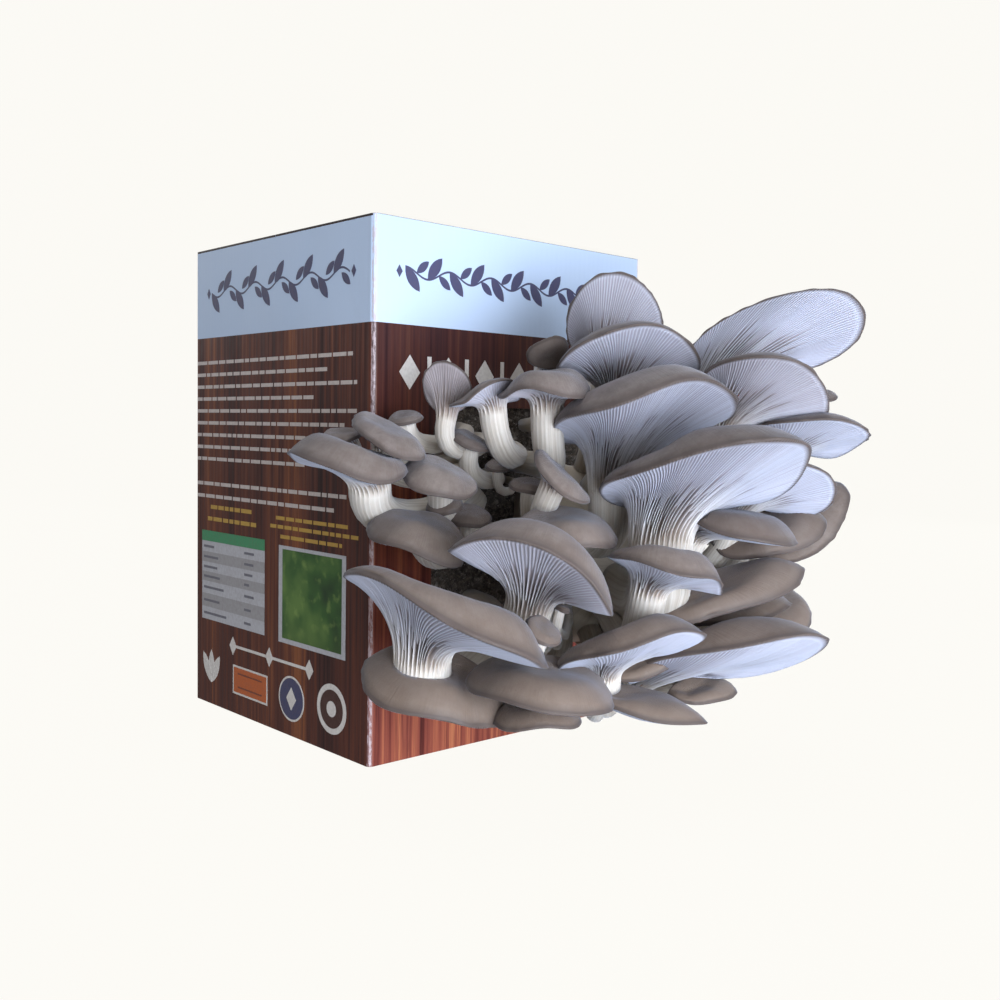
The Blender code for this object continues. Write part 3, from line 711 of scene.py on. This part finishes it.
def foot_surface(rows, columns, rough):
    """The front half of the foot, as rings from its flat back to its front."""
    rings = []
    turn = np.linspace(0, 2 * math.pi, columns, endpoint=False)
    bumps, folds = Lumps(11, 12), Lumps(12, 4)
    for lift in np.linspace(0, math.pi / 2, rows, endpoint=False):
        x, z = math.cos(lift) * np.cos(turn), math.cos(lift) * np.sin(turn)
        y = np.full(columns, -math.sin(lift))
        lumps = np.sin(FOOT_LUMPS_ACROSS * (x + y)) + np.sin(FOOT_LUMPS_UP * z)
        swell = 1 + FOOT_SWELL * abs(y) + FOOT_LUMP * lumps
        slant = FOOT_SLANT * FOOT_HALF_SIZE[1] * y
        ring = np.column_stack((FOOT_PLACE[0] + FOOT_HALF_SIZE[0] * x * swell + slant,
                                ROOT_PLANE + FOOT_HALF_SIZE[1] * y,
                                FOOT_PLACE[1] + FOOT_HALF_SIZE[2] * z * swell))
        spoke = np.column_stack((x, 0 * y, z))
        ring = ring + spoke * (rough * (0.9 * bumps(ring) + 0.35 * folds(ring)))[:, None]
        rings.append(ring)
    return rings


def make_foot(material):
    rows, columns = FOOT_DETAIL
    points, faces = closed_rings(foot_surface(rows, columns, 1))
    foot = mesh_piece("fused_foot", points, faces, material)
    angle = np.linspace(0, 2 * math.pi, columns, endpoint=False)
    stage = np.repeat(FOOT_STAGE * np.arange(rows) / rows, columns)
    growth = np.column_stack((np.tile(np.cos(angle), rows), np.tile(np.sin(angle), rows), stage))
    set_vectors(foot.data, "growth", np.vstack((growth, (0, 0, FOOT_STAGE))))
    set_vectors(foot.data, "shade_and_marks", np.zeros((len(points), 3)))
    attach(foot, "root")
    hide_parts("stem_foot")
    return shrunk(mesh_piece("guard_foot", *closed_rings(foot_surface(*FOOT_GUARD_DETAIL, 0)), seen=False))


def make_crumbs(material):
    """The rough face of the growing medium, which bulges into the carton's window."""
    half = WINDOW_WIDTH / 2 - CRUMB_CLEARANCE
    low, high = WINDOW_SILL + CRUMB_CLEARANCE, WINDOW_HEAD - CRUMB_CLEARANCE
    tall = (high - low) / 2
    across = np.arange(-half, half + 0.01, 2 * half / round(2 * half / CRUMB_STEP))
    upright = np.arange(low, high + 0.01, 2 * tall / round(2 * tall / CRUMB_STEP))
    x, z = np.meshgrid(across, upright)
    from_side = half - abs(x)
    from_end = tall - abs(z - (low + high) / 2)
    corner_x = np.clip(WINDOW_RADIUS - from_side, 0, None)
    corner_z = np.clip(WINDOW_RADIUS - from_end, 0, None)
    inside = np.minimum(np.minimum(from_side, from_end), WINDOW_RADIUS - np.hypot(corner_x, corner_z))
    fade = smooth(0, CRUMB_FADE, inside)
    wide = Lumps(21, SWELLS_APART)(np.dstack((x, 0 * x, z)))
    noise.seed_set(CRUMB_SEED)
    grains = np.empty_like(x)
    for place in np.ndindex(x.shape):
        spot = Vector((x[place], 0.3 * wide[place], z[place]))
        clod = noise.voronoi((spot + 1.6 * noise.noise_vector(spot / 2.2)) / CLOD_SIZE)[0][0]
        rough = noise.fractal(spot / GRAIN_SIZE, 0.5, 2.2, 5)
        grains[place] = np.clip(0.5 * (1 - clod) + 0.25 + 0.55 * rough, 0, 1)
    height = fade * CRUMB_DEPTH * np.clip(0.25 + 0.55 * grains + 0.15 * wide, 0.05, 1)
    face = np.dstack((x, BLOCK_FACE - 0.1 - height, z)).reshape(-1, 3)
    back = np.dstack((x, 0 * x + BLOCK_FACE + 0.2, z)).reshape(-1, 3)
    rows, columns = x.shape
    number = np.arange(rows * columns).reshape(rows, columns)
    a, b, c, d = number[:-1, :-1], number[:-1, 1:], number[1:, 1:], number[1:, :-1]
    faces = [tuple(quad) for quad in np.stack((a, b, c, d), -1).reshape(-1, 4)]
    rim = list(number[0, :]) + list(number[1:, -1]) + list(number[-1, -2::-1]) + list(number[-2:0:-1, 0])
    behind = rows * columns
    points = np.vstack((face, back[rim]))
    count = len(rim)
    faces += [(rim[i], behind + i, behind + (i + 1) % count, rim[(i + 1) % count]) for i in range(count)]
    faces.append(tuple(behind + i for i in range(count))[::-1])
    crumbs = mesh_piece("medium_face", points, faces, material)
    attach(crumbs, "root")


# Print on the carton
CREAM = (0.72, 0.68, 0.64)
SLATE = (0.055, 0.058, 0.13)
PANEL_WHITE = (0.5, 0.5, 0.53)
TABLE_GREY = (0.36, 0.35, 0.36)
TABLE_INK = (0.16, 0.16, 0.19)
LEAF_GREEN = (0.05, 0.27, 0.12)
ORANGE = (0.5, 0.11, 0.02)
OCHRE = (0.5, 0.3, 0.05)
TEXT_GREY = (0.58, 0.51, 0.48)
INK_SHADE = (0.2, 0.05, 0.02)
INK_LIFT = 0.05
INK_DEPTH = 0.1
PRINT_SEED = 5
VINE_STEP = 12
VINE_HEIGHT = 207
VINE_WAVE = 2.2
VINE_STEM = 0.45
BAND_DEPTH = 43.8
# Width of the pale strip along the upright corners: painted highlight on the glossy folds, and worn print
FOLD_WEAR_AND_HIGHLIGHT = 1.5
FLUTE_PITCH = 0.0032


class Print:
    """Flat printed shapes on the carton's panels, gathered into one piece. Each is a thin closed plate."""
    def __init__(self, panel):
        self.panel = panel
        self.draw = np.random.default_rng(PRINT_SEED)
        self.points, self.faces, self.colours = [], [], []

    def shape(self, outline, colour, level=0):
        origin, right, out = self.panel
        outline = np.asarray(outline, float)
        flat = origin + np.outer(outline[:, 0], right) + np.outer(outline[:, 1], (0, 0, 1))
        n = len(outline)
        start = sum(len(p) for p in self.points)
        back = start + n
        front = flat + np.multiply(out, INK_LIFT * (1 + level))
        self.points += [front, flat - np.multiply(out, INK_DEPTH)]
        self.faces.append(tuple(range(start, start + n)))
        self.faces.append(tuple(range(back + n - 1, back - 1, -1)))
        self.faces += [(back + i, back + (i + 1) % n, start + (i + 1) % n, start + i) for i in range(n)]
        self.colours.append(np.tile((*colour, 1), (2 * n, 1)))

    def bar(self, left, right, low, high, colour, level=0):
        self.shape([(left, low), (right, low), (right, high), (left, high)], colour, level)

    def oval(self, x, z, half_x, half_z, colour, level=0, count=48):
        turn = np.linspace(0, 2 * math.pi, count, endpoint=False)
        self.shape(np.column_stack((x + half_x * np.cos(turn), z + half_z * np.sin(turn))), colour, level)

    def leaf(self, x, z, length, width, turn, colour, level=0):
        """A pointed leaf that grows from one end."""
        t = np.linspace(0, 1, 9)
        side = width / 2 * np.sin(math.pi * t) ** 0.8
        there = np.column_stack((t * length, -side))
        back = np.column_stack((t * length, side))[-2:0:-1]
        spin = np.array(((math.cos(turn), math.sin(turn)), (-math.sin(turn), math.cos(turn))))
        self.shape(np.vstack((there, back)) @ spin + (x, z), colour, level)

    def dashes(self, left, right, z, height, colour, level=0):
        """A line of plain dashes of uneven lengths."""
        at = left
        while at < right - 2:
            end = min(right, at + self.draw.uniform(3.5, 11))
            self.bar(at, end, z - height / 2, z + height / 2, colour, level)
            at = end + 1.1

    def diamonds(self, places, z, half_x, half_z, colour, level=0):
        for x in places:
            self.shape([(x - half_x, z), (x, z - half_z), (x + half_x, z), (x, z + half_z)], colour, level)

    def piece(self, name, material):
        made = mesh_piece(name, np.concatenate(self.points), self.faces, material, smooth_shaded=False)
        layer = made.data.attributes.new("ink", "FLOAT_COLOR", "POINT")
        layer.data.foreach_set("color", np.concatenate(self.colours).astype(np.float32).ravel())
        return made


HALF_X, HALF_Y = CARTON_WIDTH / 2, CARTON_DEPTH / 2
FRONT_PANEL = (np.array((0, -HALF_Y, 0)), (1, 0, 0), (0, -1, 0))
LEFT_PANEL = (np.array((-HALF_X, 0, 0)), (0, -1, 0), (-1, 0, 0))
RIGHT_PANEL = (np.array((HALF_X, 0, 0)), (0, 1, 0), (1, 0, 0))
BACK_PANEL = (np.array((0, HALF_Y, 0)), (-1, 0, 0), (0, 1, 0))


def vine(ink, reach):
    """A border of plain leaves on a waving stem."""
    count = int(2 * reach / VINE_STEP)
    start = -count * VINE_STEP / 2
    line = np.linspace(start, -start, 8 * count + 1)
    wave = VINE_HEIGHT + VINE_WAVE * np.sin(line * math.pi / VINE_STEP)
    for a, b, low, high in zip(line, line[1:], wave - VINE_STEM, wave[1:] - VINE_STEM):
        ink.shape([(a, low), (b, high), (b, high + 2 * VINE_STEM), (a, low + 2 * VINE_STEM)], SLATE)
    for k, (x, z) in enumerate(zip(line[:-1:8], wave[::8])):
        side = 1 if k % 2 else -1
        ink.leaf(x, z, 12.5, 5.2, side * math.radians(52), SLATE, 1)
        ink.leaf(x + VINE_STEP / 2, VINE_HEIGHT, 8.5, 3.6, -side * math.radians(40), SLATE, 1)
    ink.diamonds((-reach - 3, reach + 3), VINE_HEIGHT, 1.6, 2.6, SLATE, 2)


def make_print(material, picture_material):
    ink = Print(FRONT_PANEL)
    for panel, reach in ((FRONT_PANEL, 66), (BACK_PANEL, 66), (LEFT_PANEL, 60), (RIGHT_PANEL, 60)):
        ink.panel = panel
        vine(ink, reach)

    # Front: a row of lozenges and bars, and small dashes near the foot
    ink.panel = FRONT_PANEL
    ink.diamonds(np.arange(-63, 64, 21), 165.5, 5.5, 7.3, CREAM)
    for x in np.arange(-52.5, 53, 21):
        ink.bar(x - 1.1, x + 1.1, 158.5, 172.5, CREAM)
    ink.dashes(-62, -18, 26, 3.4, CREAM)
    ink.dashes(-38, 20, 17, 1.8, CREAM)

    # Left side: rows of dashes, a blank ruled table, a framed picture and plain badges
    ink.panel = LEFT_PANEL
    ends = (64, 45, 66, 36, 66, 57, 30, 22, 26)
    for row, end in enumerate(ends):
        ink.dashes(-75, end, 172.8 - 6.0 * row, 1.7, TEXT_GREY)
    ink.dashes(-75, 59, 112.3, 1.8, TEXT_GREY)
    ink.dashes(-75, 52, 106.0, 1.8, TEXT_GREY)
    for z, left, right in ((100.6, -61, -19), (94.6, -64, -16)):
        ink.dashes(left, right, z, 2.0, OCHRE)
    for z, left, right in ((99.6, 2, 62), (95.6, -3, 68), (91.2, 6, 56)):
        ink.dashes(left, right, z, 1.7, OCHRE)
    ink.bar(-70, -8, 43, 88.4, PANEL_WHITE)
    ink.bar(-70, -8, 83.1, 88.4, LEAF_GREEN, 1)
    rows = (83.1, 77.6, 72.4, 67.4, 62.6, 56.2, 49.4, 43)
    for number, (high, low) in enumerate(zip(rows, rows[1:])):
        if number % 2:
            ink.bar(-70, -8, low, high, TABLE_GREY, 1)
        middle = (high + low) / 2
        ink.bar(-68, -68 + ink.draw.uniform(9, 24), middle - 0.6, middle + 0.6, TABLE_INK, 2)
        ink.bar(-27, -27 + ink.draw.uniform(4, 10), middle - 0.6, middle + 0.6, TABLE_INK, 2)
    ink.bar(4.7, 59.2, 42.2, 87.2, PANEL_WHITE)
    ink.bar(-38, 31, 32.6, 34.0, CREAM)
    ink.diamonds((-38, -3.5, 31), 33.3, 3.4, 4.6, CREAM, 1)
    ink.bar(-38, -5, 9.8, 24.1, CREAM)
    ink.bar(-37, -6, 10.8, 23.1, ORANGE, 1)
    ink.bar(-33, -10, 13.2, 14.0, INK_SHADE, 2)
    ink.bar(-33, -10, 19.9, 20.7, INK_SHADE, 2)
    ink.oval(16.2, 17.3, 10.9, 10.5, CREAM)
    ink.oval(16.2, 17.3, 9.9, 9.5, SLATE, 1)
    ink.diamonds([16.2], 17.3, 4.2, 5.4, CREAM, 2)
    ink.oval(49, 19.2, 11.4, 11.1, CREAM)
    ink.oval(49, 19.2, 8.8, 8.5, (0.055, 0.018, 0.012), 1)
    ink.oval(49, 19.2, 3.6, 3.5, CREAM, 2)
    for k in range(3):
        ink.leaf(-60, 11, 17, 6, math.radians(60 + 30 * k), CREAM, k)
    sheet = ink.piece("carton_print", material)
    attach(sheet, "root")

    picture = Print(LEFT_PANEL)
    picture.bar(8.0, 56.2, 44.4, 85.6, LEAF_GREEN, 1)
    view = picture.piece("carton_picture", picture_material)
    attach(view, "root")


# Materials
def new_material(name):
    material = bpy.data.materials.new(name)
    material.use_nodes = True
    return material, material.node_tree, material.node_tree.nodes["Principled BSDF"]


def set_sockets(node, values):
    """Sets a node's inputs by name or number, and links those whose value is another node's output."""
    for name, value in values.items():
        socket = node.inputs[name]
        if isinstance(value, bpy.types.NodeSocket):
            node.id_data.links.new(value, socket)
        else:
            socket.default_value = (*value, 1) if socket.type == "RGBA" else value


def add_node(tree, kind, sockets=None, **settings):
    node = tree.nodes.new(kind)
    for name, value in settings.items():
        setattr(node, name, value)
    set_sockets(node, sockets or {})
    return node


def attribute(tree, name, output="Vector"):
    return add_node(tree, "ShaderNodeAttribute", attribute_name=name).outputs[output]


def object_place(tree):
    return add_node(tree, "ShaderNodeTexCoord").outputs["Object"]


def maths(operation, *values):
    tree = values[0].id_data
    return add_node(tree, "ShaderNodeMath", dict(enumerate(values)), operation=operation).outputs[0]


def times(first, second):
    return maths("MULTIPLY", first, second)


def above(value, limit):
    return maths("GREATER_THAN", value, limit)


def span(value, low, high, to_low=0, to_high=1):
    limits = {"From Min": low, "From Max": high, "To Min": to_low, "To Max": to_high}
    return add_node(value.id_data, "ShaderNodeMapRange", {"Value": value, **limits}).outputs["Result"]


def ramp(value, *stops):
    node = add_node(value.id_data, "ShaderNodeValToRGB", {"Fac": value})
    elements = node.color_ramp.elements
    while len(elements) < len(stops):
        elements.new(0.5)
    for element, (place, colour) in zip(elements, stops):
        element.position = place
        element.color = (*colour, 1)
    return node.outputs["Color"]


def mix(factor, first, second):
    sockets = {0: factor, 6: first, 7: second}
    return add_node(factor.id_data, "ShaderNodeMix", sockets, data_type="RGBA").outputs[2]


def tinted(colour, *tints):
    """The colour under tints. Each has a value, its limits, its share at the second limit, and a colour."""
    for value, low, high, share, tint in tints:
        colour = mix(span(value, low, high, 0, share), colour, tint)
    return colour


def noise_of(vector, scale, detail=3, roughness=0.5):
    sockets = {"Vector": vector, "Scale": scale, "Detail": detail, "Roughness": roughness}
    return add_node(vector.id_data, "ShaderNodeTexNoise", sockets).outputs["Fac"]


def stretched(vector, scale):
    return add_node(vector.id_data, "ShaderNodeMapping", {"Vector": vector, "Scale": scale}).outputs["Vector"]


def bumped(shader, height, distance, strength=1):
    sockets = {"Height": height, "Distance": distance, "Strength": strength}
    set_sockets(shader, {"Normal": add_node(shader.id_data, "ShaderNodeBump", sockets).outputs["Normal"]})


def split(vector):
    node = add_node(vector.id_data, "ShaderNodeSeparateXYZ", {"Vector": vector})
    return node.outputs["X"], node.outputs["Y"], node.outputs["Z"]


def mushroom_material(name):
    """Flesh in stages: 0 to 1 up the stem, 1 to 2 along the gills, 2 to 3 from the cap's margin inwards."""
    material, tree, shader = new_material(name)
    growth = attribute(tree, "growth")
    stage = split(growth)[2]
    gap_shade, cap_shade_and_tone, gill_shade_and_browning = split(attribute(tree, "shade_and_marks"))
    place = object_place(tree)
    height_above = split(place)[2]
    fibres = noise_of(stretched(growth, (26, 26, 1.1)), 1, 4, 0.6)
    fine_fibres = noise_of(stretched(growth, (70, 70, 2.5)), 1, 2)
    streaks = noise_of(stretched(growth, (9, 9, 0.8)), 1, 3, 0.6)
    blotches = noise_of(place, 70)
    clouds = noise_of(place, 38, 2)
    mottles = noise_of(place, 170, 5, 0.68)
    speckle = noise_of(place, 900, 2)

    cap_stage = maths("ADD", maths("SUBTRACT", stage, 2), span(blotches, 0.3, 0.7, -0.16, 0.16))
    cap = ramp(cap_stage, (0, (0.155, 0.123, 0.11)), (0.35, (0.2, 0.165, 0.148)),
               (0.85, (0.155, 0.124, 0.108)))
    cap = tinted(cap, (fibres, 0.35, 0.7, 0.3, (0.235, 0.2, 0.18)),
                 (fine_fibres, 0.5, 0.8, 0.25, (0.085, 0.066, 0.055)),
                 (clouds, 0.5, 0.7, 0.25, (0.215, 0.16, 0.15)),
                 (mottles, 0.46, 0.64, 0.42, (0.275, 0.24, 0.222)),
                 (mottles, 0.46, 0.32, 0.35, (0.1, 0.078, 0.067)),
                 # Painted shade: caps listed as lying in shade are darker, on top of a random spread
                 (cap_shade_and_tone, -0.6, 1.2, 0.65, (0.085, 0.062, 0.052)),
                 # Painted warm bounce light: the lower the cap, the warmer its colour
                 (height_above, 0.14, 0.05, 0.55, (0.215, 0.152, 0.108)),
                 (stage, 2.06, 2, 0.6, (0.06, 0.046, 0.041)))

    # Gills: painted shade in the gaps between the blades, darker where the gaps are deeper
    gap_shade_colour = ramp(maths("SUBTRACT", stage, 1), (0, (0.36, 0.29, 0.25)), (0.15, (0.23, 0.18, 0.155)),
                    (0.45, (0.155, 0.13, 0.13)), (0.85, (0.25, 0.235, 0.27)))
    blade_tone = mix(span(stage, 1.05, 1.65), (0.82, 0.79, 0.77), (0.47, 0.495, 0.6))
    gill = mix(span(gap_shade, 0.03, 0.8), blade_tone, gap_shade_colour)
    # Browner, darker gills: partly turning brown with age, partly painted shade
    gill = mix(times(gill_shade_and_browning, 0.8), gill, (0.26, 0.2, 0.175))
    gill = tinted(gill, (stage, 1.3, 1, 0.55, (0.7, 0.63, 0.54)),
                  (stage, 1.965, 1.995, 1, (0.09, 0.068, 0.06)))

    stem = ramp(stage, (0, (0.34, 0.28, 0.21)), (0.35, (0.52, 0.47, 0.39)), (0.75, (0.66, 0.63, 0.58)),
                (1, (0.7, 0.67, 0.63)))
    # The last stem tint is painted shade in the hollows between the stem's ridges
    stem = tinted(stem, (fibres, 0.3, 0.7, 0.5, (0.42, 0.36, 0.29)),
                  (streaks, 0.46, 0.66, 0.65, (0.34, 0.285, 0.225)),
                  (blotches, 0.5, 0.7, 0.35, (0.5, 0.43, 0.34)), (gap_shade, 0, 0.4, 0.5, (0.36, 0.31, 0.26)))

    flesh = mix(span(stage, 0.92, 1.12), stem, gill)
    colour = mix(span(stage, 1.995, 2.012), flesh, cap)
    set_sockets(shader, {"Base Color": tinted(colour, (speckle, 0.62, 0.75, 0.1, (0.12, 0.1, 0.08))),
                         "Roughness": span(blotches, 0.3, 0.7, 0.5, 0.68), "Specular IOR Level": 0.3,
                         "Sheen Weight": 0.25, "Sheen Roughness": 0.4, "Sheen Tint": (0.7, 0.8, 1),
                         "Subsurface Weight": 0.12, "Subsurface Radius": (1, 0.7, 0.5),
                         "Subsurface Scale": 0.002})
    height = maths("ADD", times(fibres, 0.6), times(fine_fibres, 0.4))
    height = maths("ADD", height, times(speckle, 0.15))
    bumped(shader, times(height, span(stage, 1.995, 2.05)), 0.0006, 0.5)
    return material


def medium_material():
    """Pressed sawdust with pale threads of the fungus in it."""
    material, tree, shader = new_material("growing_medium")
    place = object_place(tree)
    clumps = noise_of(place, 110, 4)
    crumbs = noise_of(place, 420, 6, 0.75)
    threads = noise_of(place, 260, 5, 0.7)
    specks = noise_of(place, 1100, 2)
    colour = ramp(crumbs, (0.34, (0.012, 0.009, 0.007)), (0.5, (0.055, 0.043, 0.034)),
                  (0.66, (0.17, 0.14, 0.11)))
    colour = tinted(colour, (clumps, 0.45, 0.7, 0.6, (0.11, 0.095, 0.085)),
                    (threads, 0.55, 0.66, 0.55, (0.34, 0.31, 0.28)),
                    (specks, 0.66, 0.72, 0.7, (0.5, 0.46, 0.42)))
    set_sockets(shader, {"Base Color": colour, "Roughness": 0.92})
    bumped(shader, maths("ADD", threads, crumbs), 0.0009)
    return material


def card_material():
    """Gloss-printed card: a pale band over a dark wood grain, and bare brown card inside."""
    material, tree, shader = new_material("printed_card")
    place = object_place(tree)
    x, y, z = split(place)
    far_x, far_y = maths("ABSOLUTE", x), maths("ABSOLUTE", y)
    planks = noise_of(stretched(place, (58, 58, 2.6)), 1, 4, 0.62)
    streaks = noise_of(stretched(place, (420, 420, 6)), 1, 4, 0.7)
    pores = noise_of(stretched(place, (1500, 1500, 45)), 1, 2)
    grain = maths("ADD", times(planks, 0.5), times(streaks, 0.5))
    wood = ramp(grain, (0.36, (0.026, 0.009, 0.008)), (0.46, (0.07, 0.02, 0.014)),
                (0.54, (0.125, 0.036, 0.019)), (0.64, (0.24, 0.08, 0.03)))
    red = ramp(grain, (0.36, (0.085, 0.015, 0.012)), (0.46, (0.2, 0.044, 0.03)), (0.54, (0.31, 0.082, 0.044)),
               (0.64, (0.52, 0.2, 0.085)))
    on_front = maths("LESS_THAN", y, -HALF_Y * MM + 0.0012)
    wood = mix(times(on_front, span(z, 0.15, 0.02, 0.12, 0.85)), wood, red)
    wood = tinted(wood, (pores, 0.55, 0.75, 0.5, (0.025, 0.008, 0.007)))
    wood = mix(times(on_front, span(z, 0.11, 0.18, 0, 0.62)), wood, (0.022, 0.007, 0.011))
    band_tone = mix(noise_of(place, 25), (0.53, 0.64, 0.82), (0.49, 0.61, 0.8))
    colour = mix(above(z, (CARTON_HEIGHT - BAND_DEPTH) * MM), wood, band_tone)

    # The lid and a thin strip along the side panels' top edges are coloured dark
    folded = times(above(far_x, (HALF_X - 0.3) * MM), above(z, (CARTON_HEIGHT - 1) * MM))
    lid = above(z, (CARTON_HEIGHT - 0.15) * MM)
    colour = mix(maths("MAXIMUM", lid, folded), colour, (0.03, 0.016, 0.016))

    # Pale along the upright corners: partly painted highlight where the glossy folds catch the light, partly
    # print worn and cracked at the folds
    fold_wear_and_highlight = times(above(far_x, (HALF_X - FOLD_WEAR_AND_HIGHLIGHT) * MM), above(far_y, (HALF_Y - FOLD_WEAR_AND_HIGHLIGHT) * MM))
    cracks = noise_of(stretched(place, (900, 900, 260)), 1, 3, 0.7)
    colour = mix(times(fold_wear_and_highlight, span(cracks, 0.42, 0.58, 0.15, 0.85)), colour, (0.5, 0.4, 0.42))

    # Bare card inside and at the window's cut edge
    far_z = maths("ABSOLUTE", maths("SUBTRACT", z, CARTON_HEIGHT / 2 * MM))
    inner = maths("LESS_THAN", far_x, (HALF_X - 1.5) * MM)
    inner = times(inner, maths("LESS_THAN", far_y, (HALF_Y - 0.2) * MM))
    inner = times(inner, maths("LESS_THAN", far_z, (CARTON_HEIGHT / 2 - 0.3) * MM))
    kraft = mix(noise_of(place, 600, 4), (0.3, 0.19, 0.11), (0.4, 0.27, 0.17))
    rough = mix(inner, span(streaks, 0.3, 0.7, 0.3, 0.44), (0.85, 0.85, 0.85))
    colour = mix(inner, colour, kraft)
    set_sockets(shader, {"Base Color": colour, "Roughness": rough, "Specular IOR Level": 0.3})

    flutes = maths("SINE", times(maths("ADD", x, y), 2 * math.pi / FLUTE_PITCH))
    height = maths("ADD", times(flutes, 0.035), times(noise_of(place, 45, 2), 1.2))
    height = maths("ADD", height, times(noise_of(place, 1600, 2), 0.03))
    bumped(shader, height, 0.0006, 0.6)
    return material


def ink_material():
    material, tree, shader = new_material("printed_ink")
    patchy = noise_of(object_place(tree), 700)
    colour = tinted(attribute(tree, "ink", "Color"), (patchy, 0.35, 0.75, 0.22, (0.16, 0.09, 0.08)))
    set_sockets(shader, {"Base Color": colour, "Roughness": 0.38})
    bumped(shader, patchy, 0.0002, 0.4)
    return material


def picture_material():
    """A soft, blurred view of leaves in sunlight."""
    material, tree, shader = new_material("printed_leaves")
    place = object_place(tree)
    soft = noise_of(place, 55, 2)
    spots = noise_of(place, 190)
    z = split(place)[2]
    colour = ramp(soft, (0.3, (0.01, 0.035, 0.008)), (0.5, (0.035, 0.105, 0.018)),
                  (0.7, (0.115, 0.21, 0.045)))
    colour = tinted(colour, (spots, 0.55, 0.72, 0.5, (0.22, 0.33, 0.08)),
                    (z, 0.058, 0.044, 0.55, (0.05, 0.1, 0.02)))
    set_sockets(shader, {"Base Color": colour, "Roughness": 0.35})
    return material


# Studio
FLOOR_SIDES = 96
FLOOR_RADIUS = 1.6
FLOOR_BEND = 0.8
WALL_HEIGHT = 4
PALE_LIGHT = (0.95, 0.97, 1)
PICTURE_SIDE = 1000
FOCAL = 1098.9
CAMERA_PLACE = (-0.347, -0.4462, 0.1423)
CAMERA_YAW = math.radians(-42.359)
CAMERA_PITCH = math.radians(-3.69)
CAMERA_ROLL = math.radians(1.036)


def make_camera():
    camera = bpy.data.cameras.new("camera")
    camera.sensor_width = 36
    camera.lens = 36 * FOCAL / PICTURE_SIDE
    camera.clip_start = 0.01
    holder = bpy.data.objects.new("camera", camera)
    level = Vector((math.cos(CAMERA_YAW), math.sin(CAMERA_YAW), 0))
    forward = Vector((-level.y, level.x, 0))
    ahead = forward * math.cos(CAMERA_PITCH) + Vector((0, 0, math.sin(CAMERA_PITCH)))
    over = level.cross(ahead)
    right = level * math.cos(CAMERA_ROLL) + over * math.sin(CAMERA_ROLL)
    up = over * math.cos(CAMERA_ROLL) - level * math.sin(CAMERA_ROLL)
    holder.matrix_world = Matrix.Translation(CAMERA_PLACE) @ Matrix((right, up, -ahead)).transposed().to_4x4()
    bpy.context.scene.collection.objects.link(holder)
    bpy.context.scene.camera = holder


def make_light(name, place, target, size, watts, colour):
    light = bpy.data.lights.new(name, "AREA")
    light.shape = "DISK"
    light.size = size
    light.energy = watts
    light.color = colour
    holder = bpy.data.objects.new(name, light)
    holder.location = place
    holder.rotation_euler = (Vector(target) - Vector(place)).to_track_quat("-Z", "Y").to_euler()
    holder.visible_camera = False
    bpy.context.scene.collection.objects.link(holder)


def make_stage():
    """A round, pale floor that curves up into a wall."""
    n = FLOOR_SIDES
    steps = np.linspace(0, 1, 9)[1:]
    bends = steps * math.pi / 2
    profile = [(FLOOR_RADIUS * t, 0) for t in steps]
    profile += [(FLOOR_RADIUS + FLOOR_BEND * math.sin(a), FLOOR_BEND * (1 - math.cos(a))) for a in bends]
    profile += [(FLOOR_RADIUS + FLOOR_BEND, WALL_HEIGHT)]
    turn = np.linspace(0, 2 * math.pi, n, endpoint=False)
    points = [(0, 0, 0)] + [(r * math.cos(t), r * math.sin(t), h) for r, h in profile for t in turn]
    faces = [(0, 1 + i, 1 + (i + 1) % n) for i in range(n)]
    for a in range(1, 1 + n * (len(profile) - 1), n):
        faces += [(a + i, a + n + i, a + n + (i + 1) % n, a + (i + 1) % n) for i in range(n)]
    material, tree, shader = new_material("studio_floor")
    set_sockets(shader, {"Base Color": (0.02, 0.02, 0.02), "Roughness": 1, "Specular IOR Level": 0,
                         "Emission Color": (1, 0.985, 0.94), "Emission Strength": 0.962})
    floor = mesh_piece("studio_floor", np.array(points) / MM, faces, material)
    floor.visible_diffuse = False
    floor.visible_glossy = False
    floor.visible_shadow = False


def make_studio():
    world = bpy.data.worlds.new("studio")
    world.use_nodes = True
    set_sockets(world.node_tree.nodes["Background"], {"Color": (0.97, 0.98, 1), "Strength": 0.24})
    bpy.context.scene.world = world
    bpy.context.scene.view_settings.view_transform = "Standard"
    for name, place, size, watts, colour in (
            ("window", (0.1, -1.35, 0.2), 0.8, 7, (0.8, 0.88, 1)),
            ("bounce", (-0.22, -0.78, 0.012), 0.6, 8.5, (0.82, 0.89, 1)),
            ("overhead", (-0.3, -0.3, 1.5), 0.9, 7, PALE_LIGHT),
            ("fill", (-1.3, -0.3, 0.4), 0.9, 1.2, (1, 0.96, 0.91)),
            ("right", (1.3, 0.1, 0.7), 1.2, 6, PALE_LIGHT),
            ("back", (-0.3, 1.5, 0.8), 1.2, 5, PALE_LIGHT)):
        target = (0, -0.17, 0.12) if name == "bounce" else (0, -0.06, 0.11)
        make_light(name, place, target, size, watts, colour)
    make_stage()


def use_material(node, material):
    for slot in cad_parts[node].material_slots:
        slot.material = material


make_camera()
make_studio()
medium = medium_material()
use_material("carton", card_material())
use_material("substrate_block", medium)
make_print(ink_material(), picture_material())
make_crumbs(medium)
flesh = mushroom_material("mushroom_flesh")
make_mushrooms(flesh, make_foot(mushroom_material("stem_flesh")))
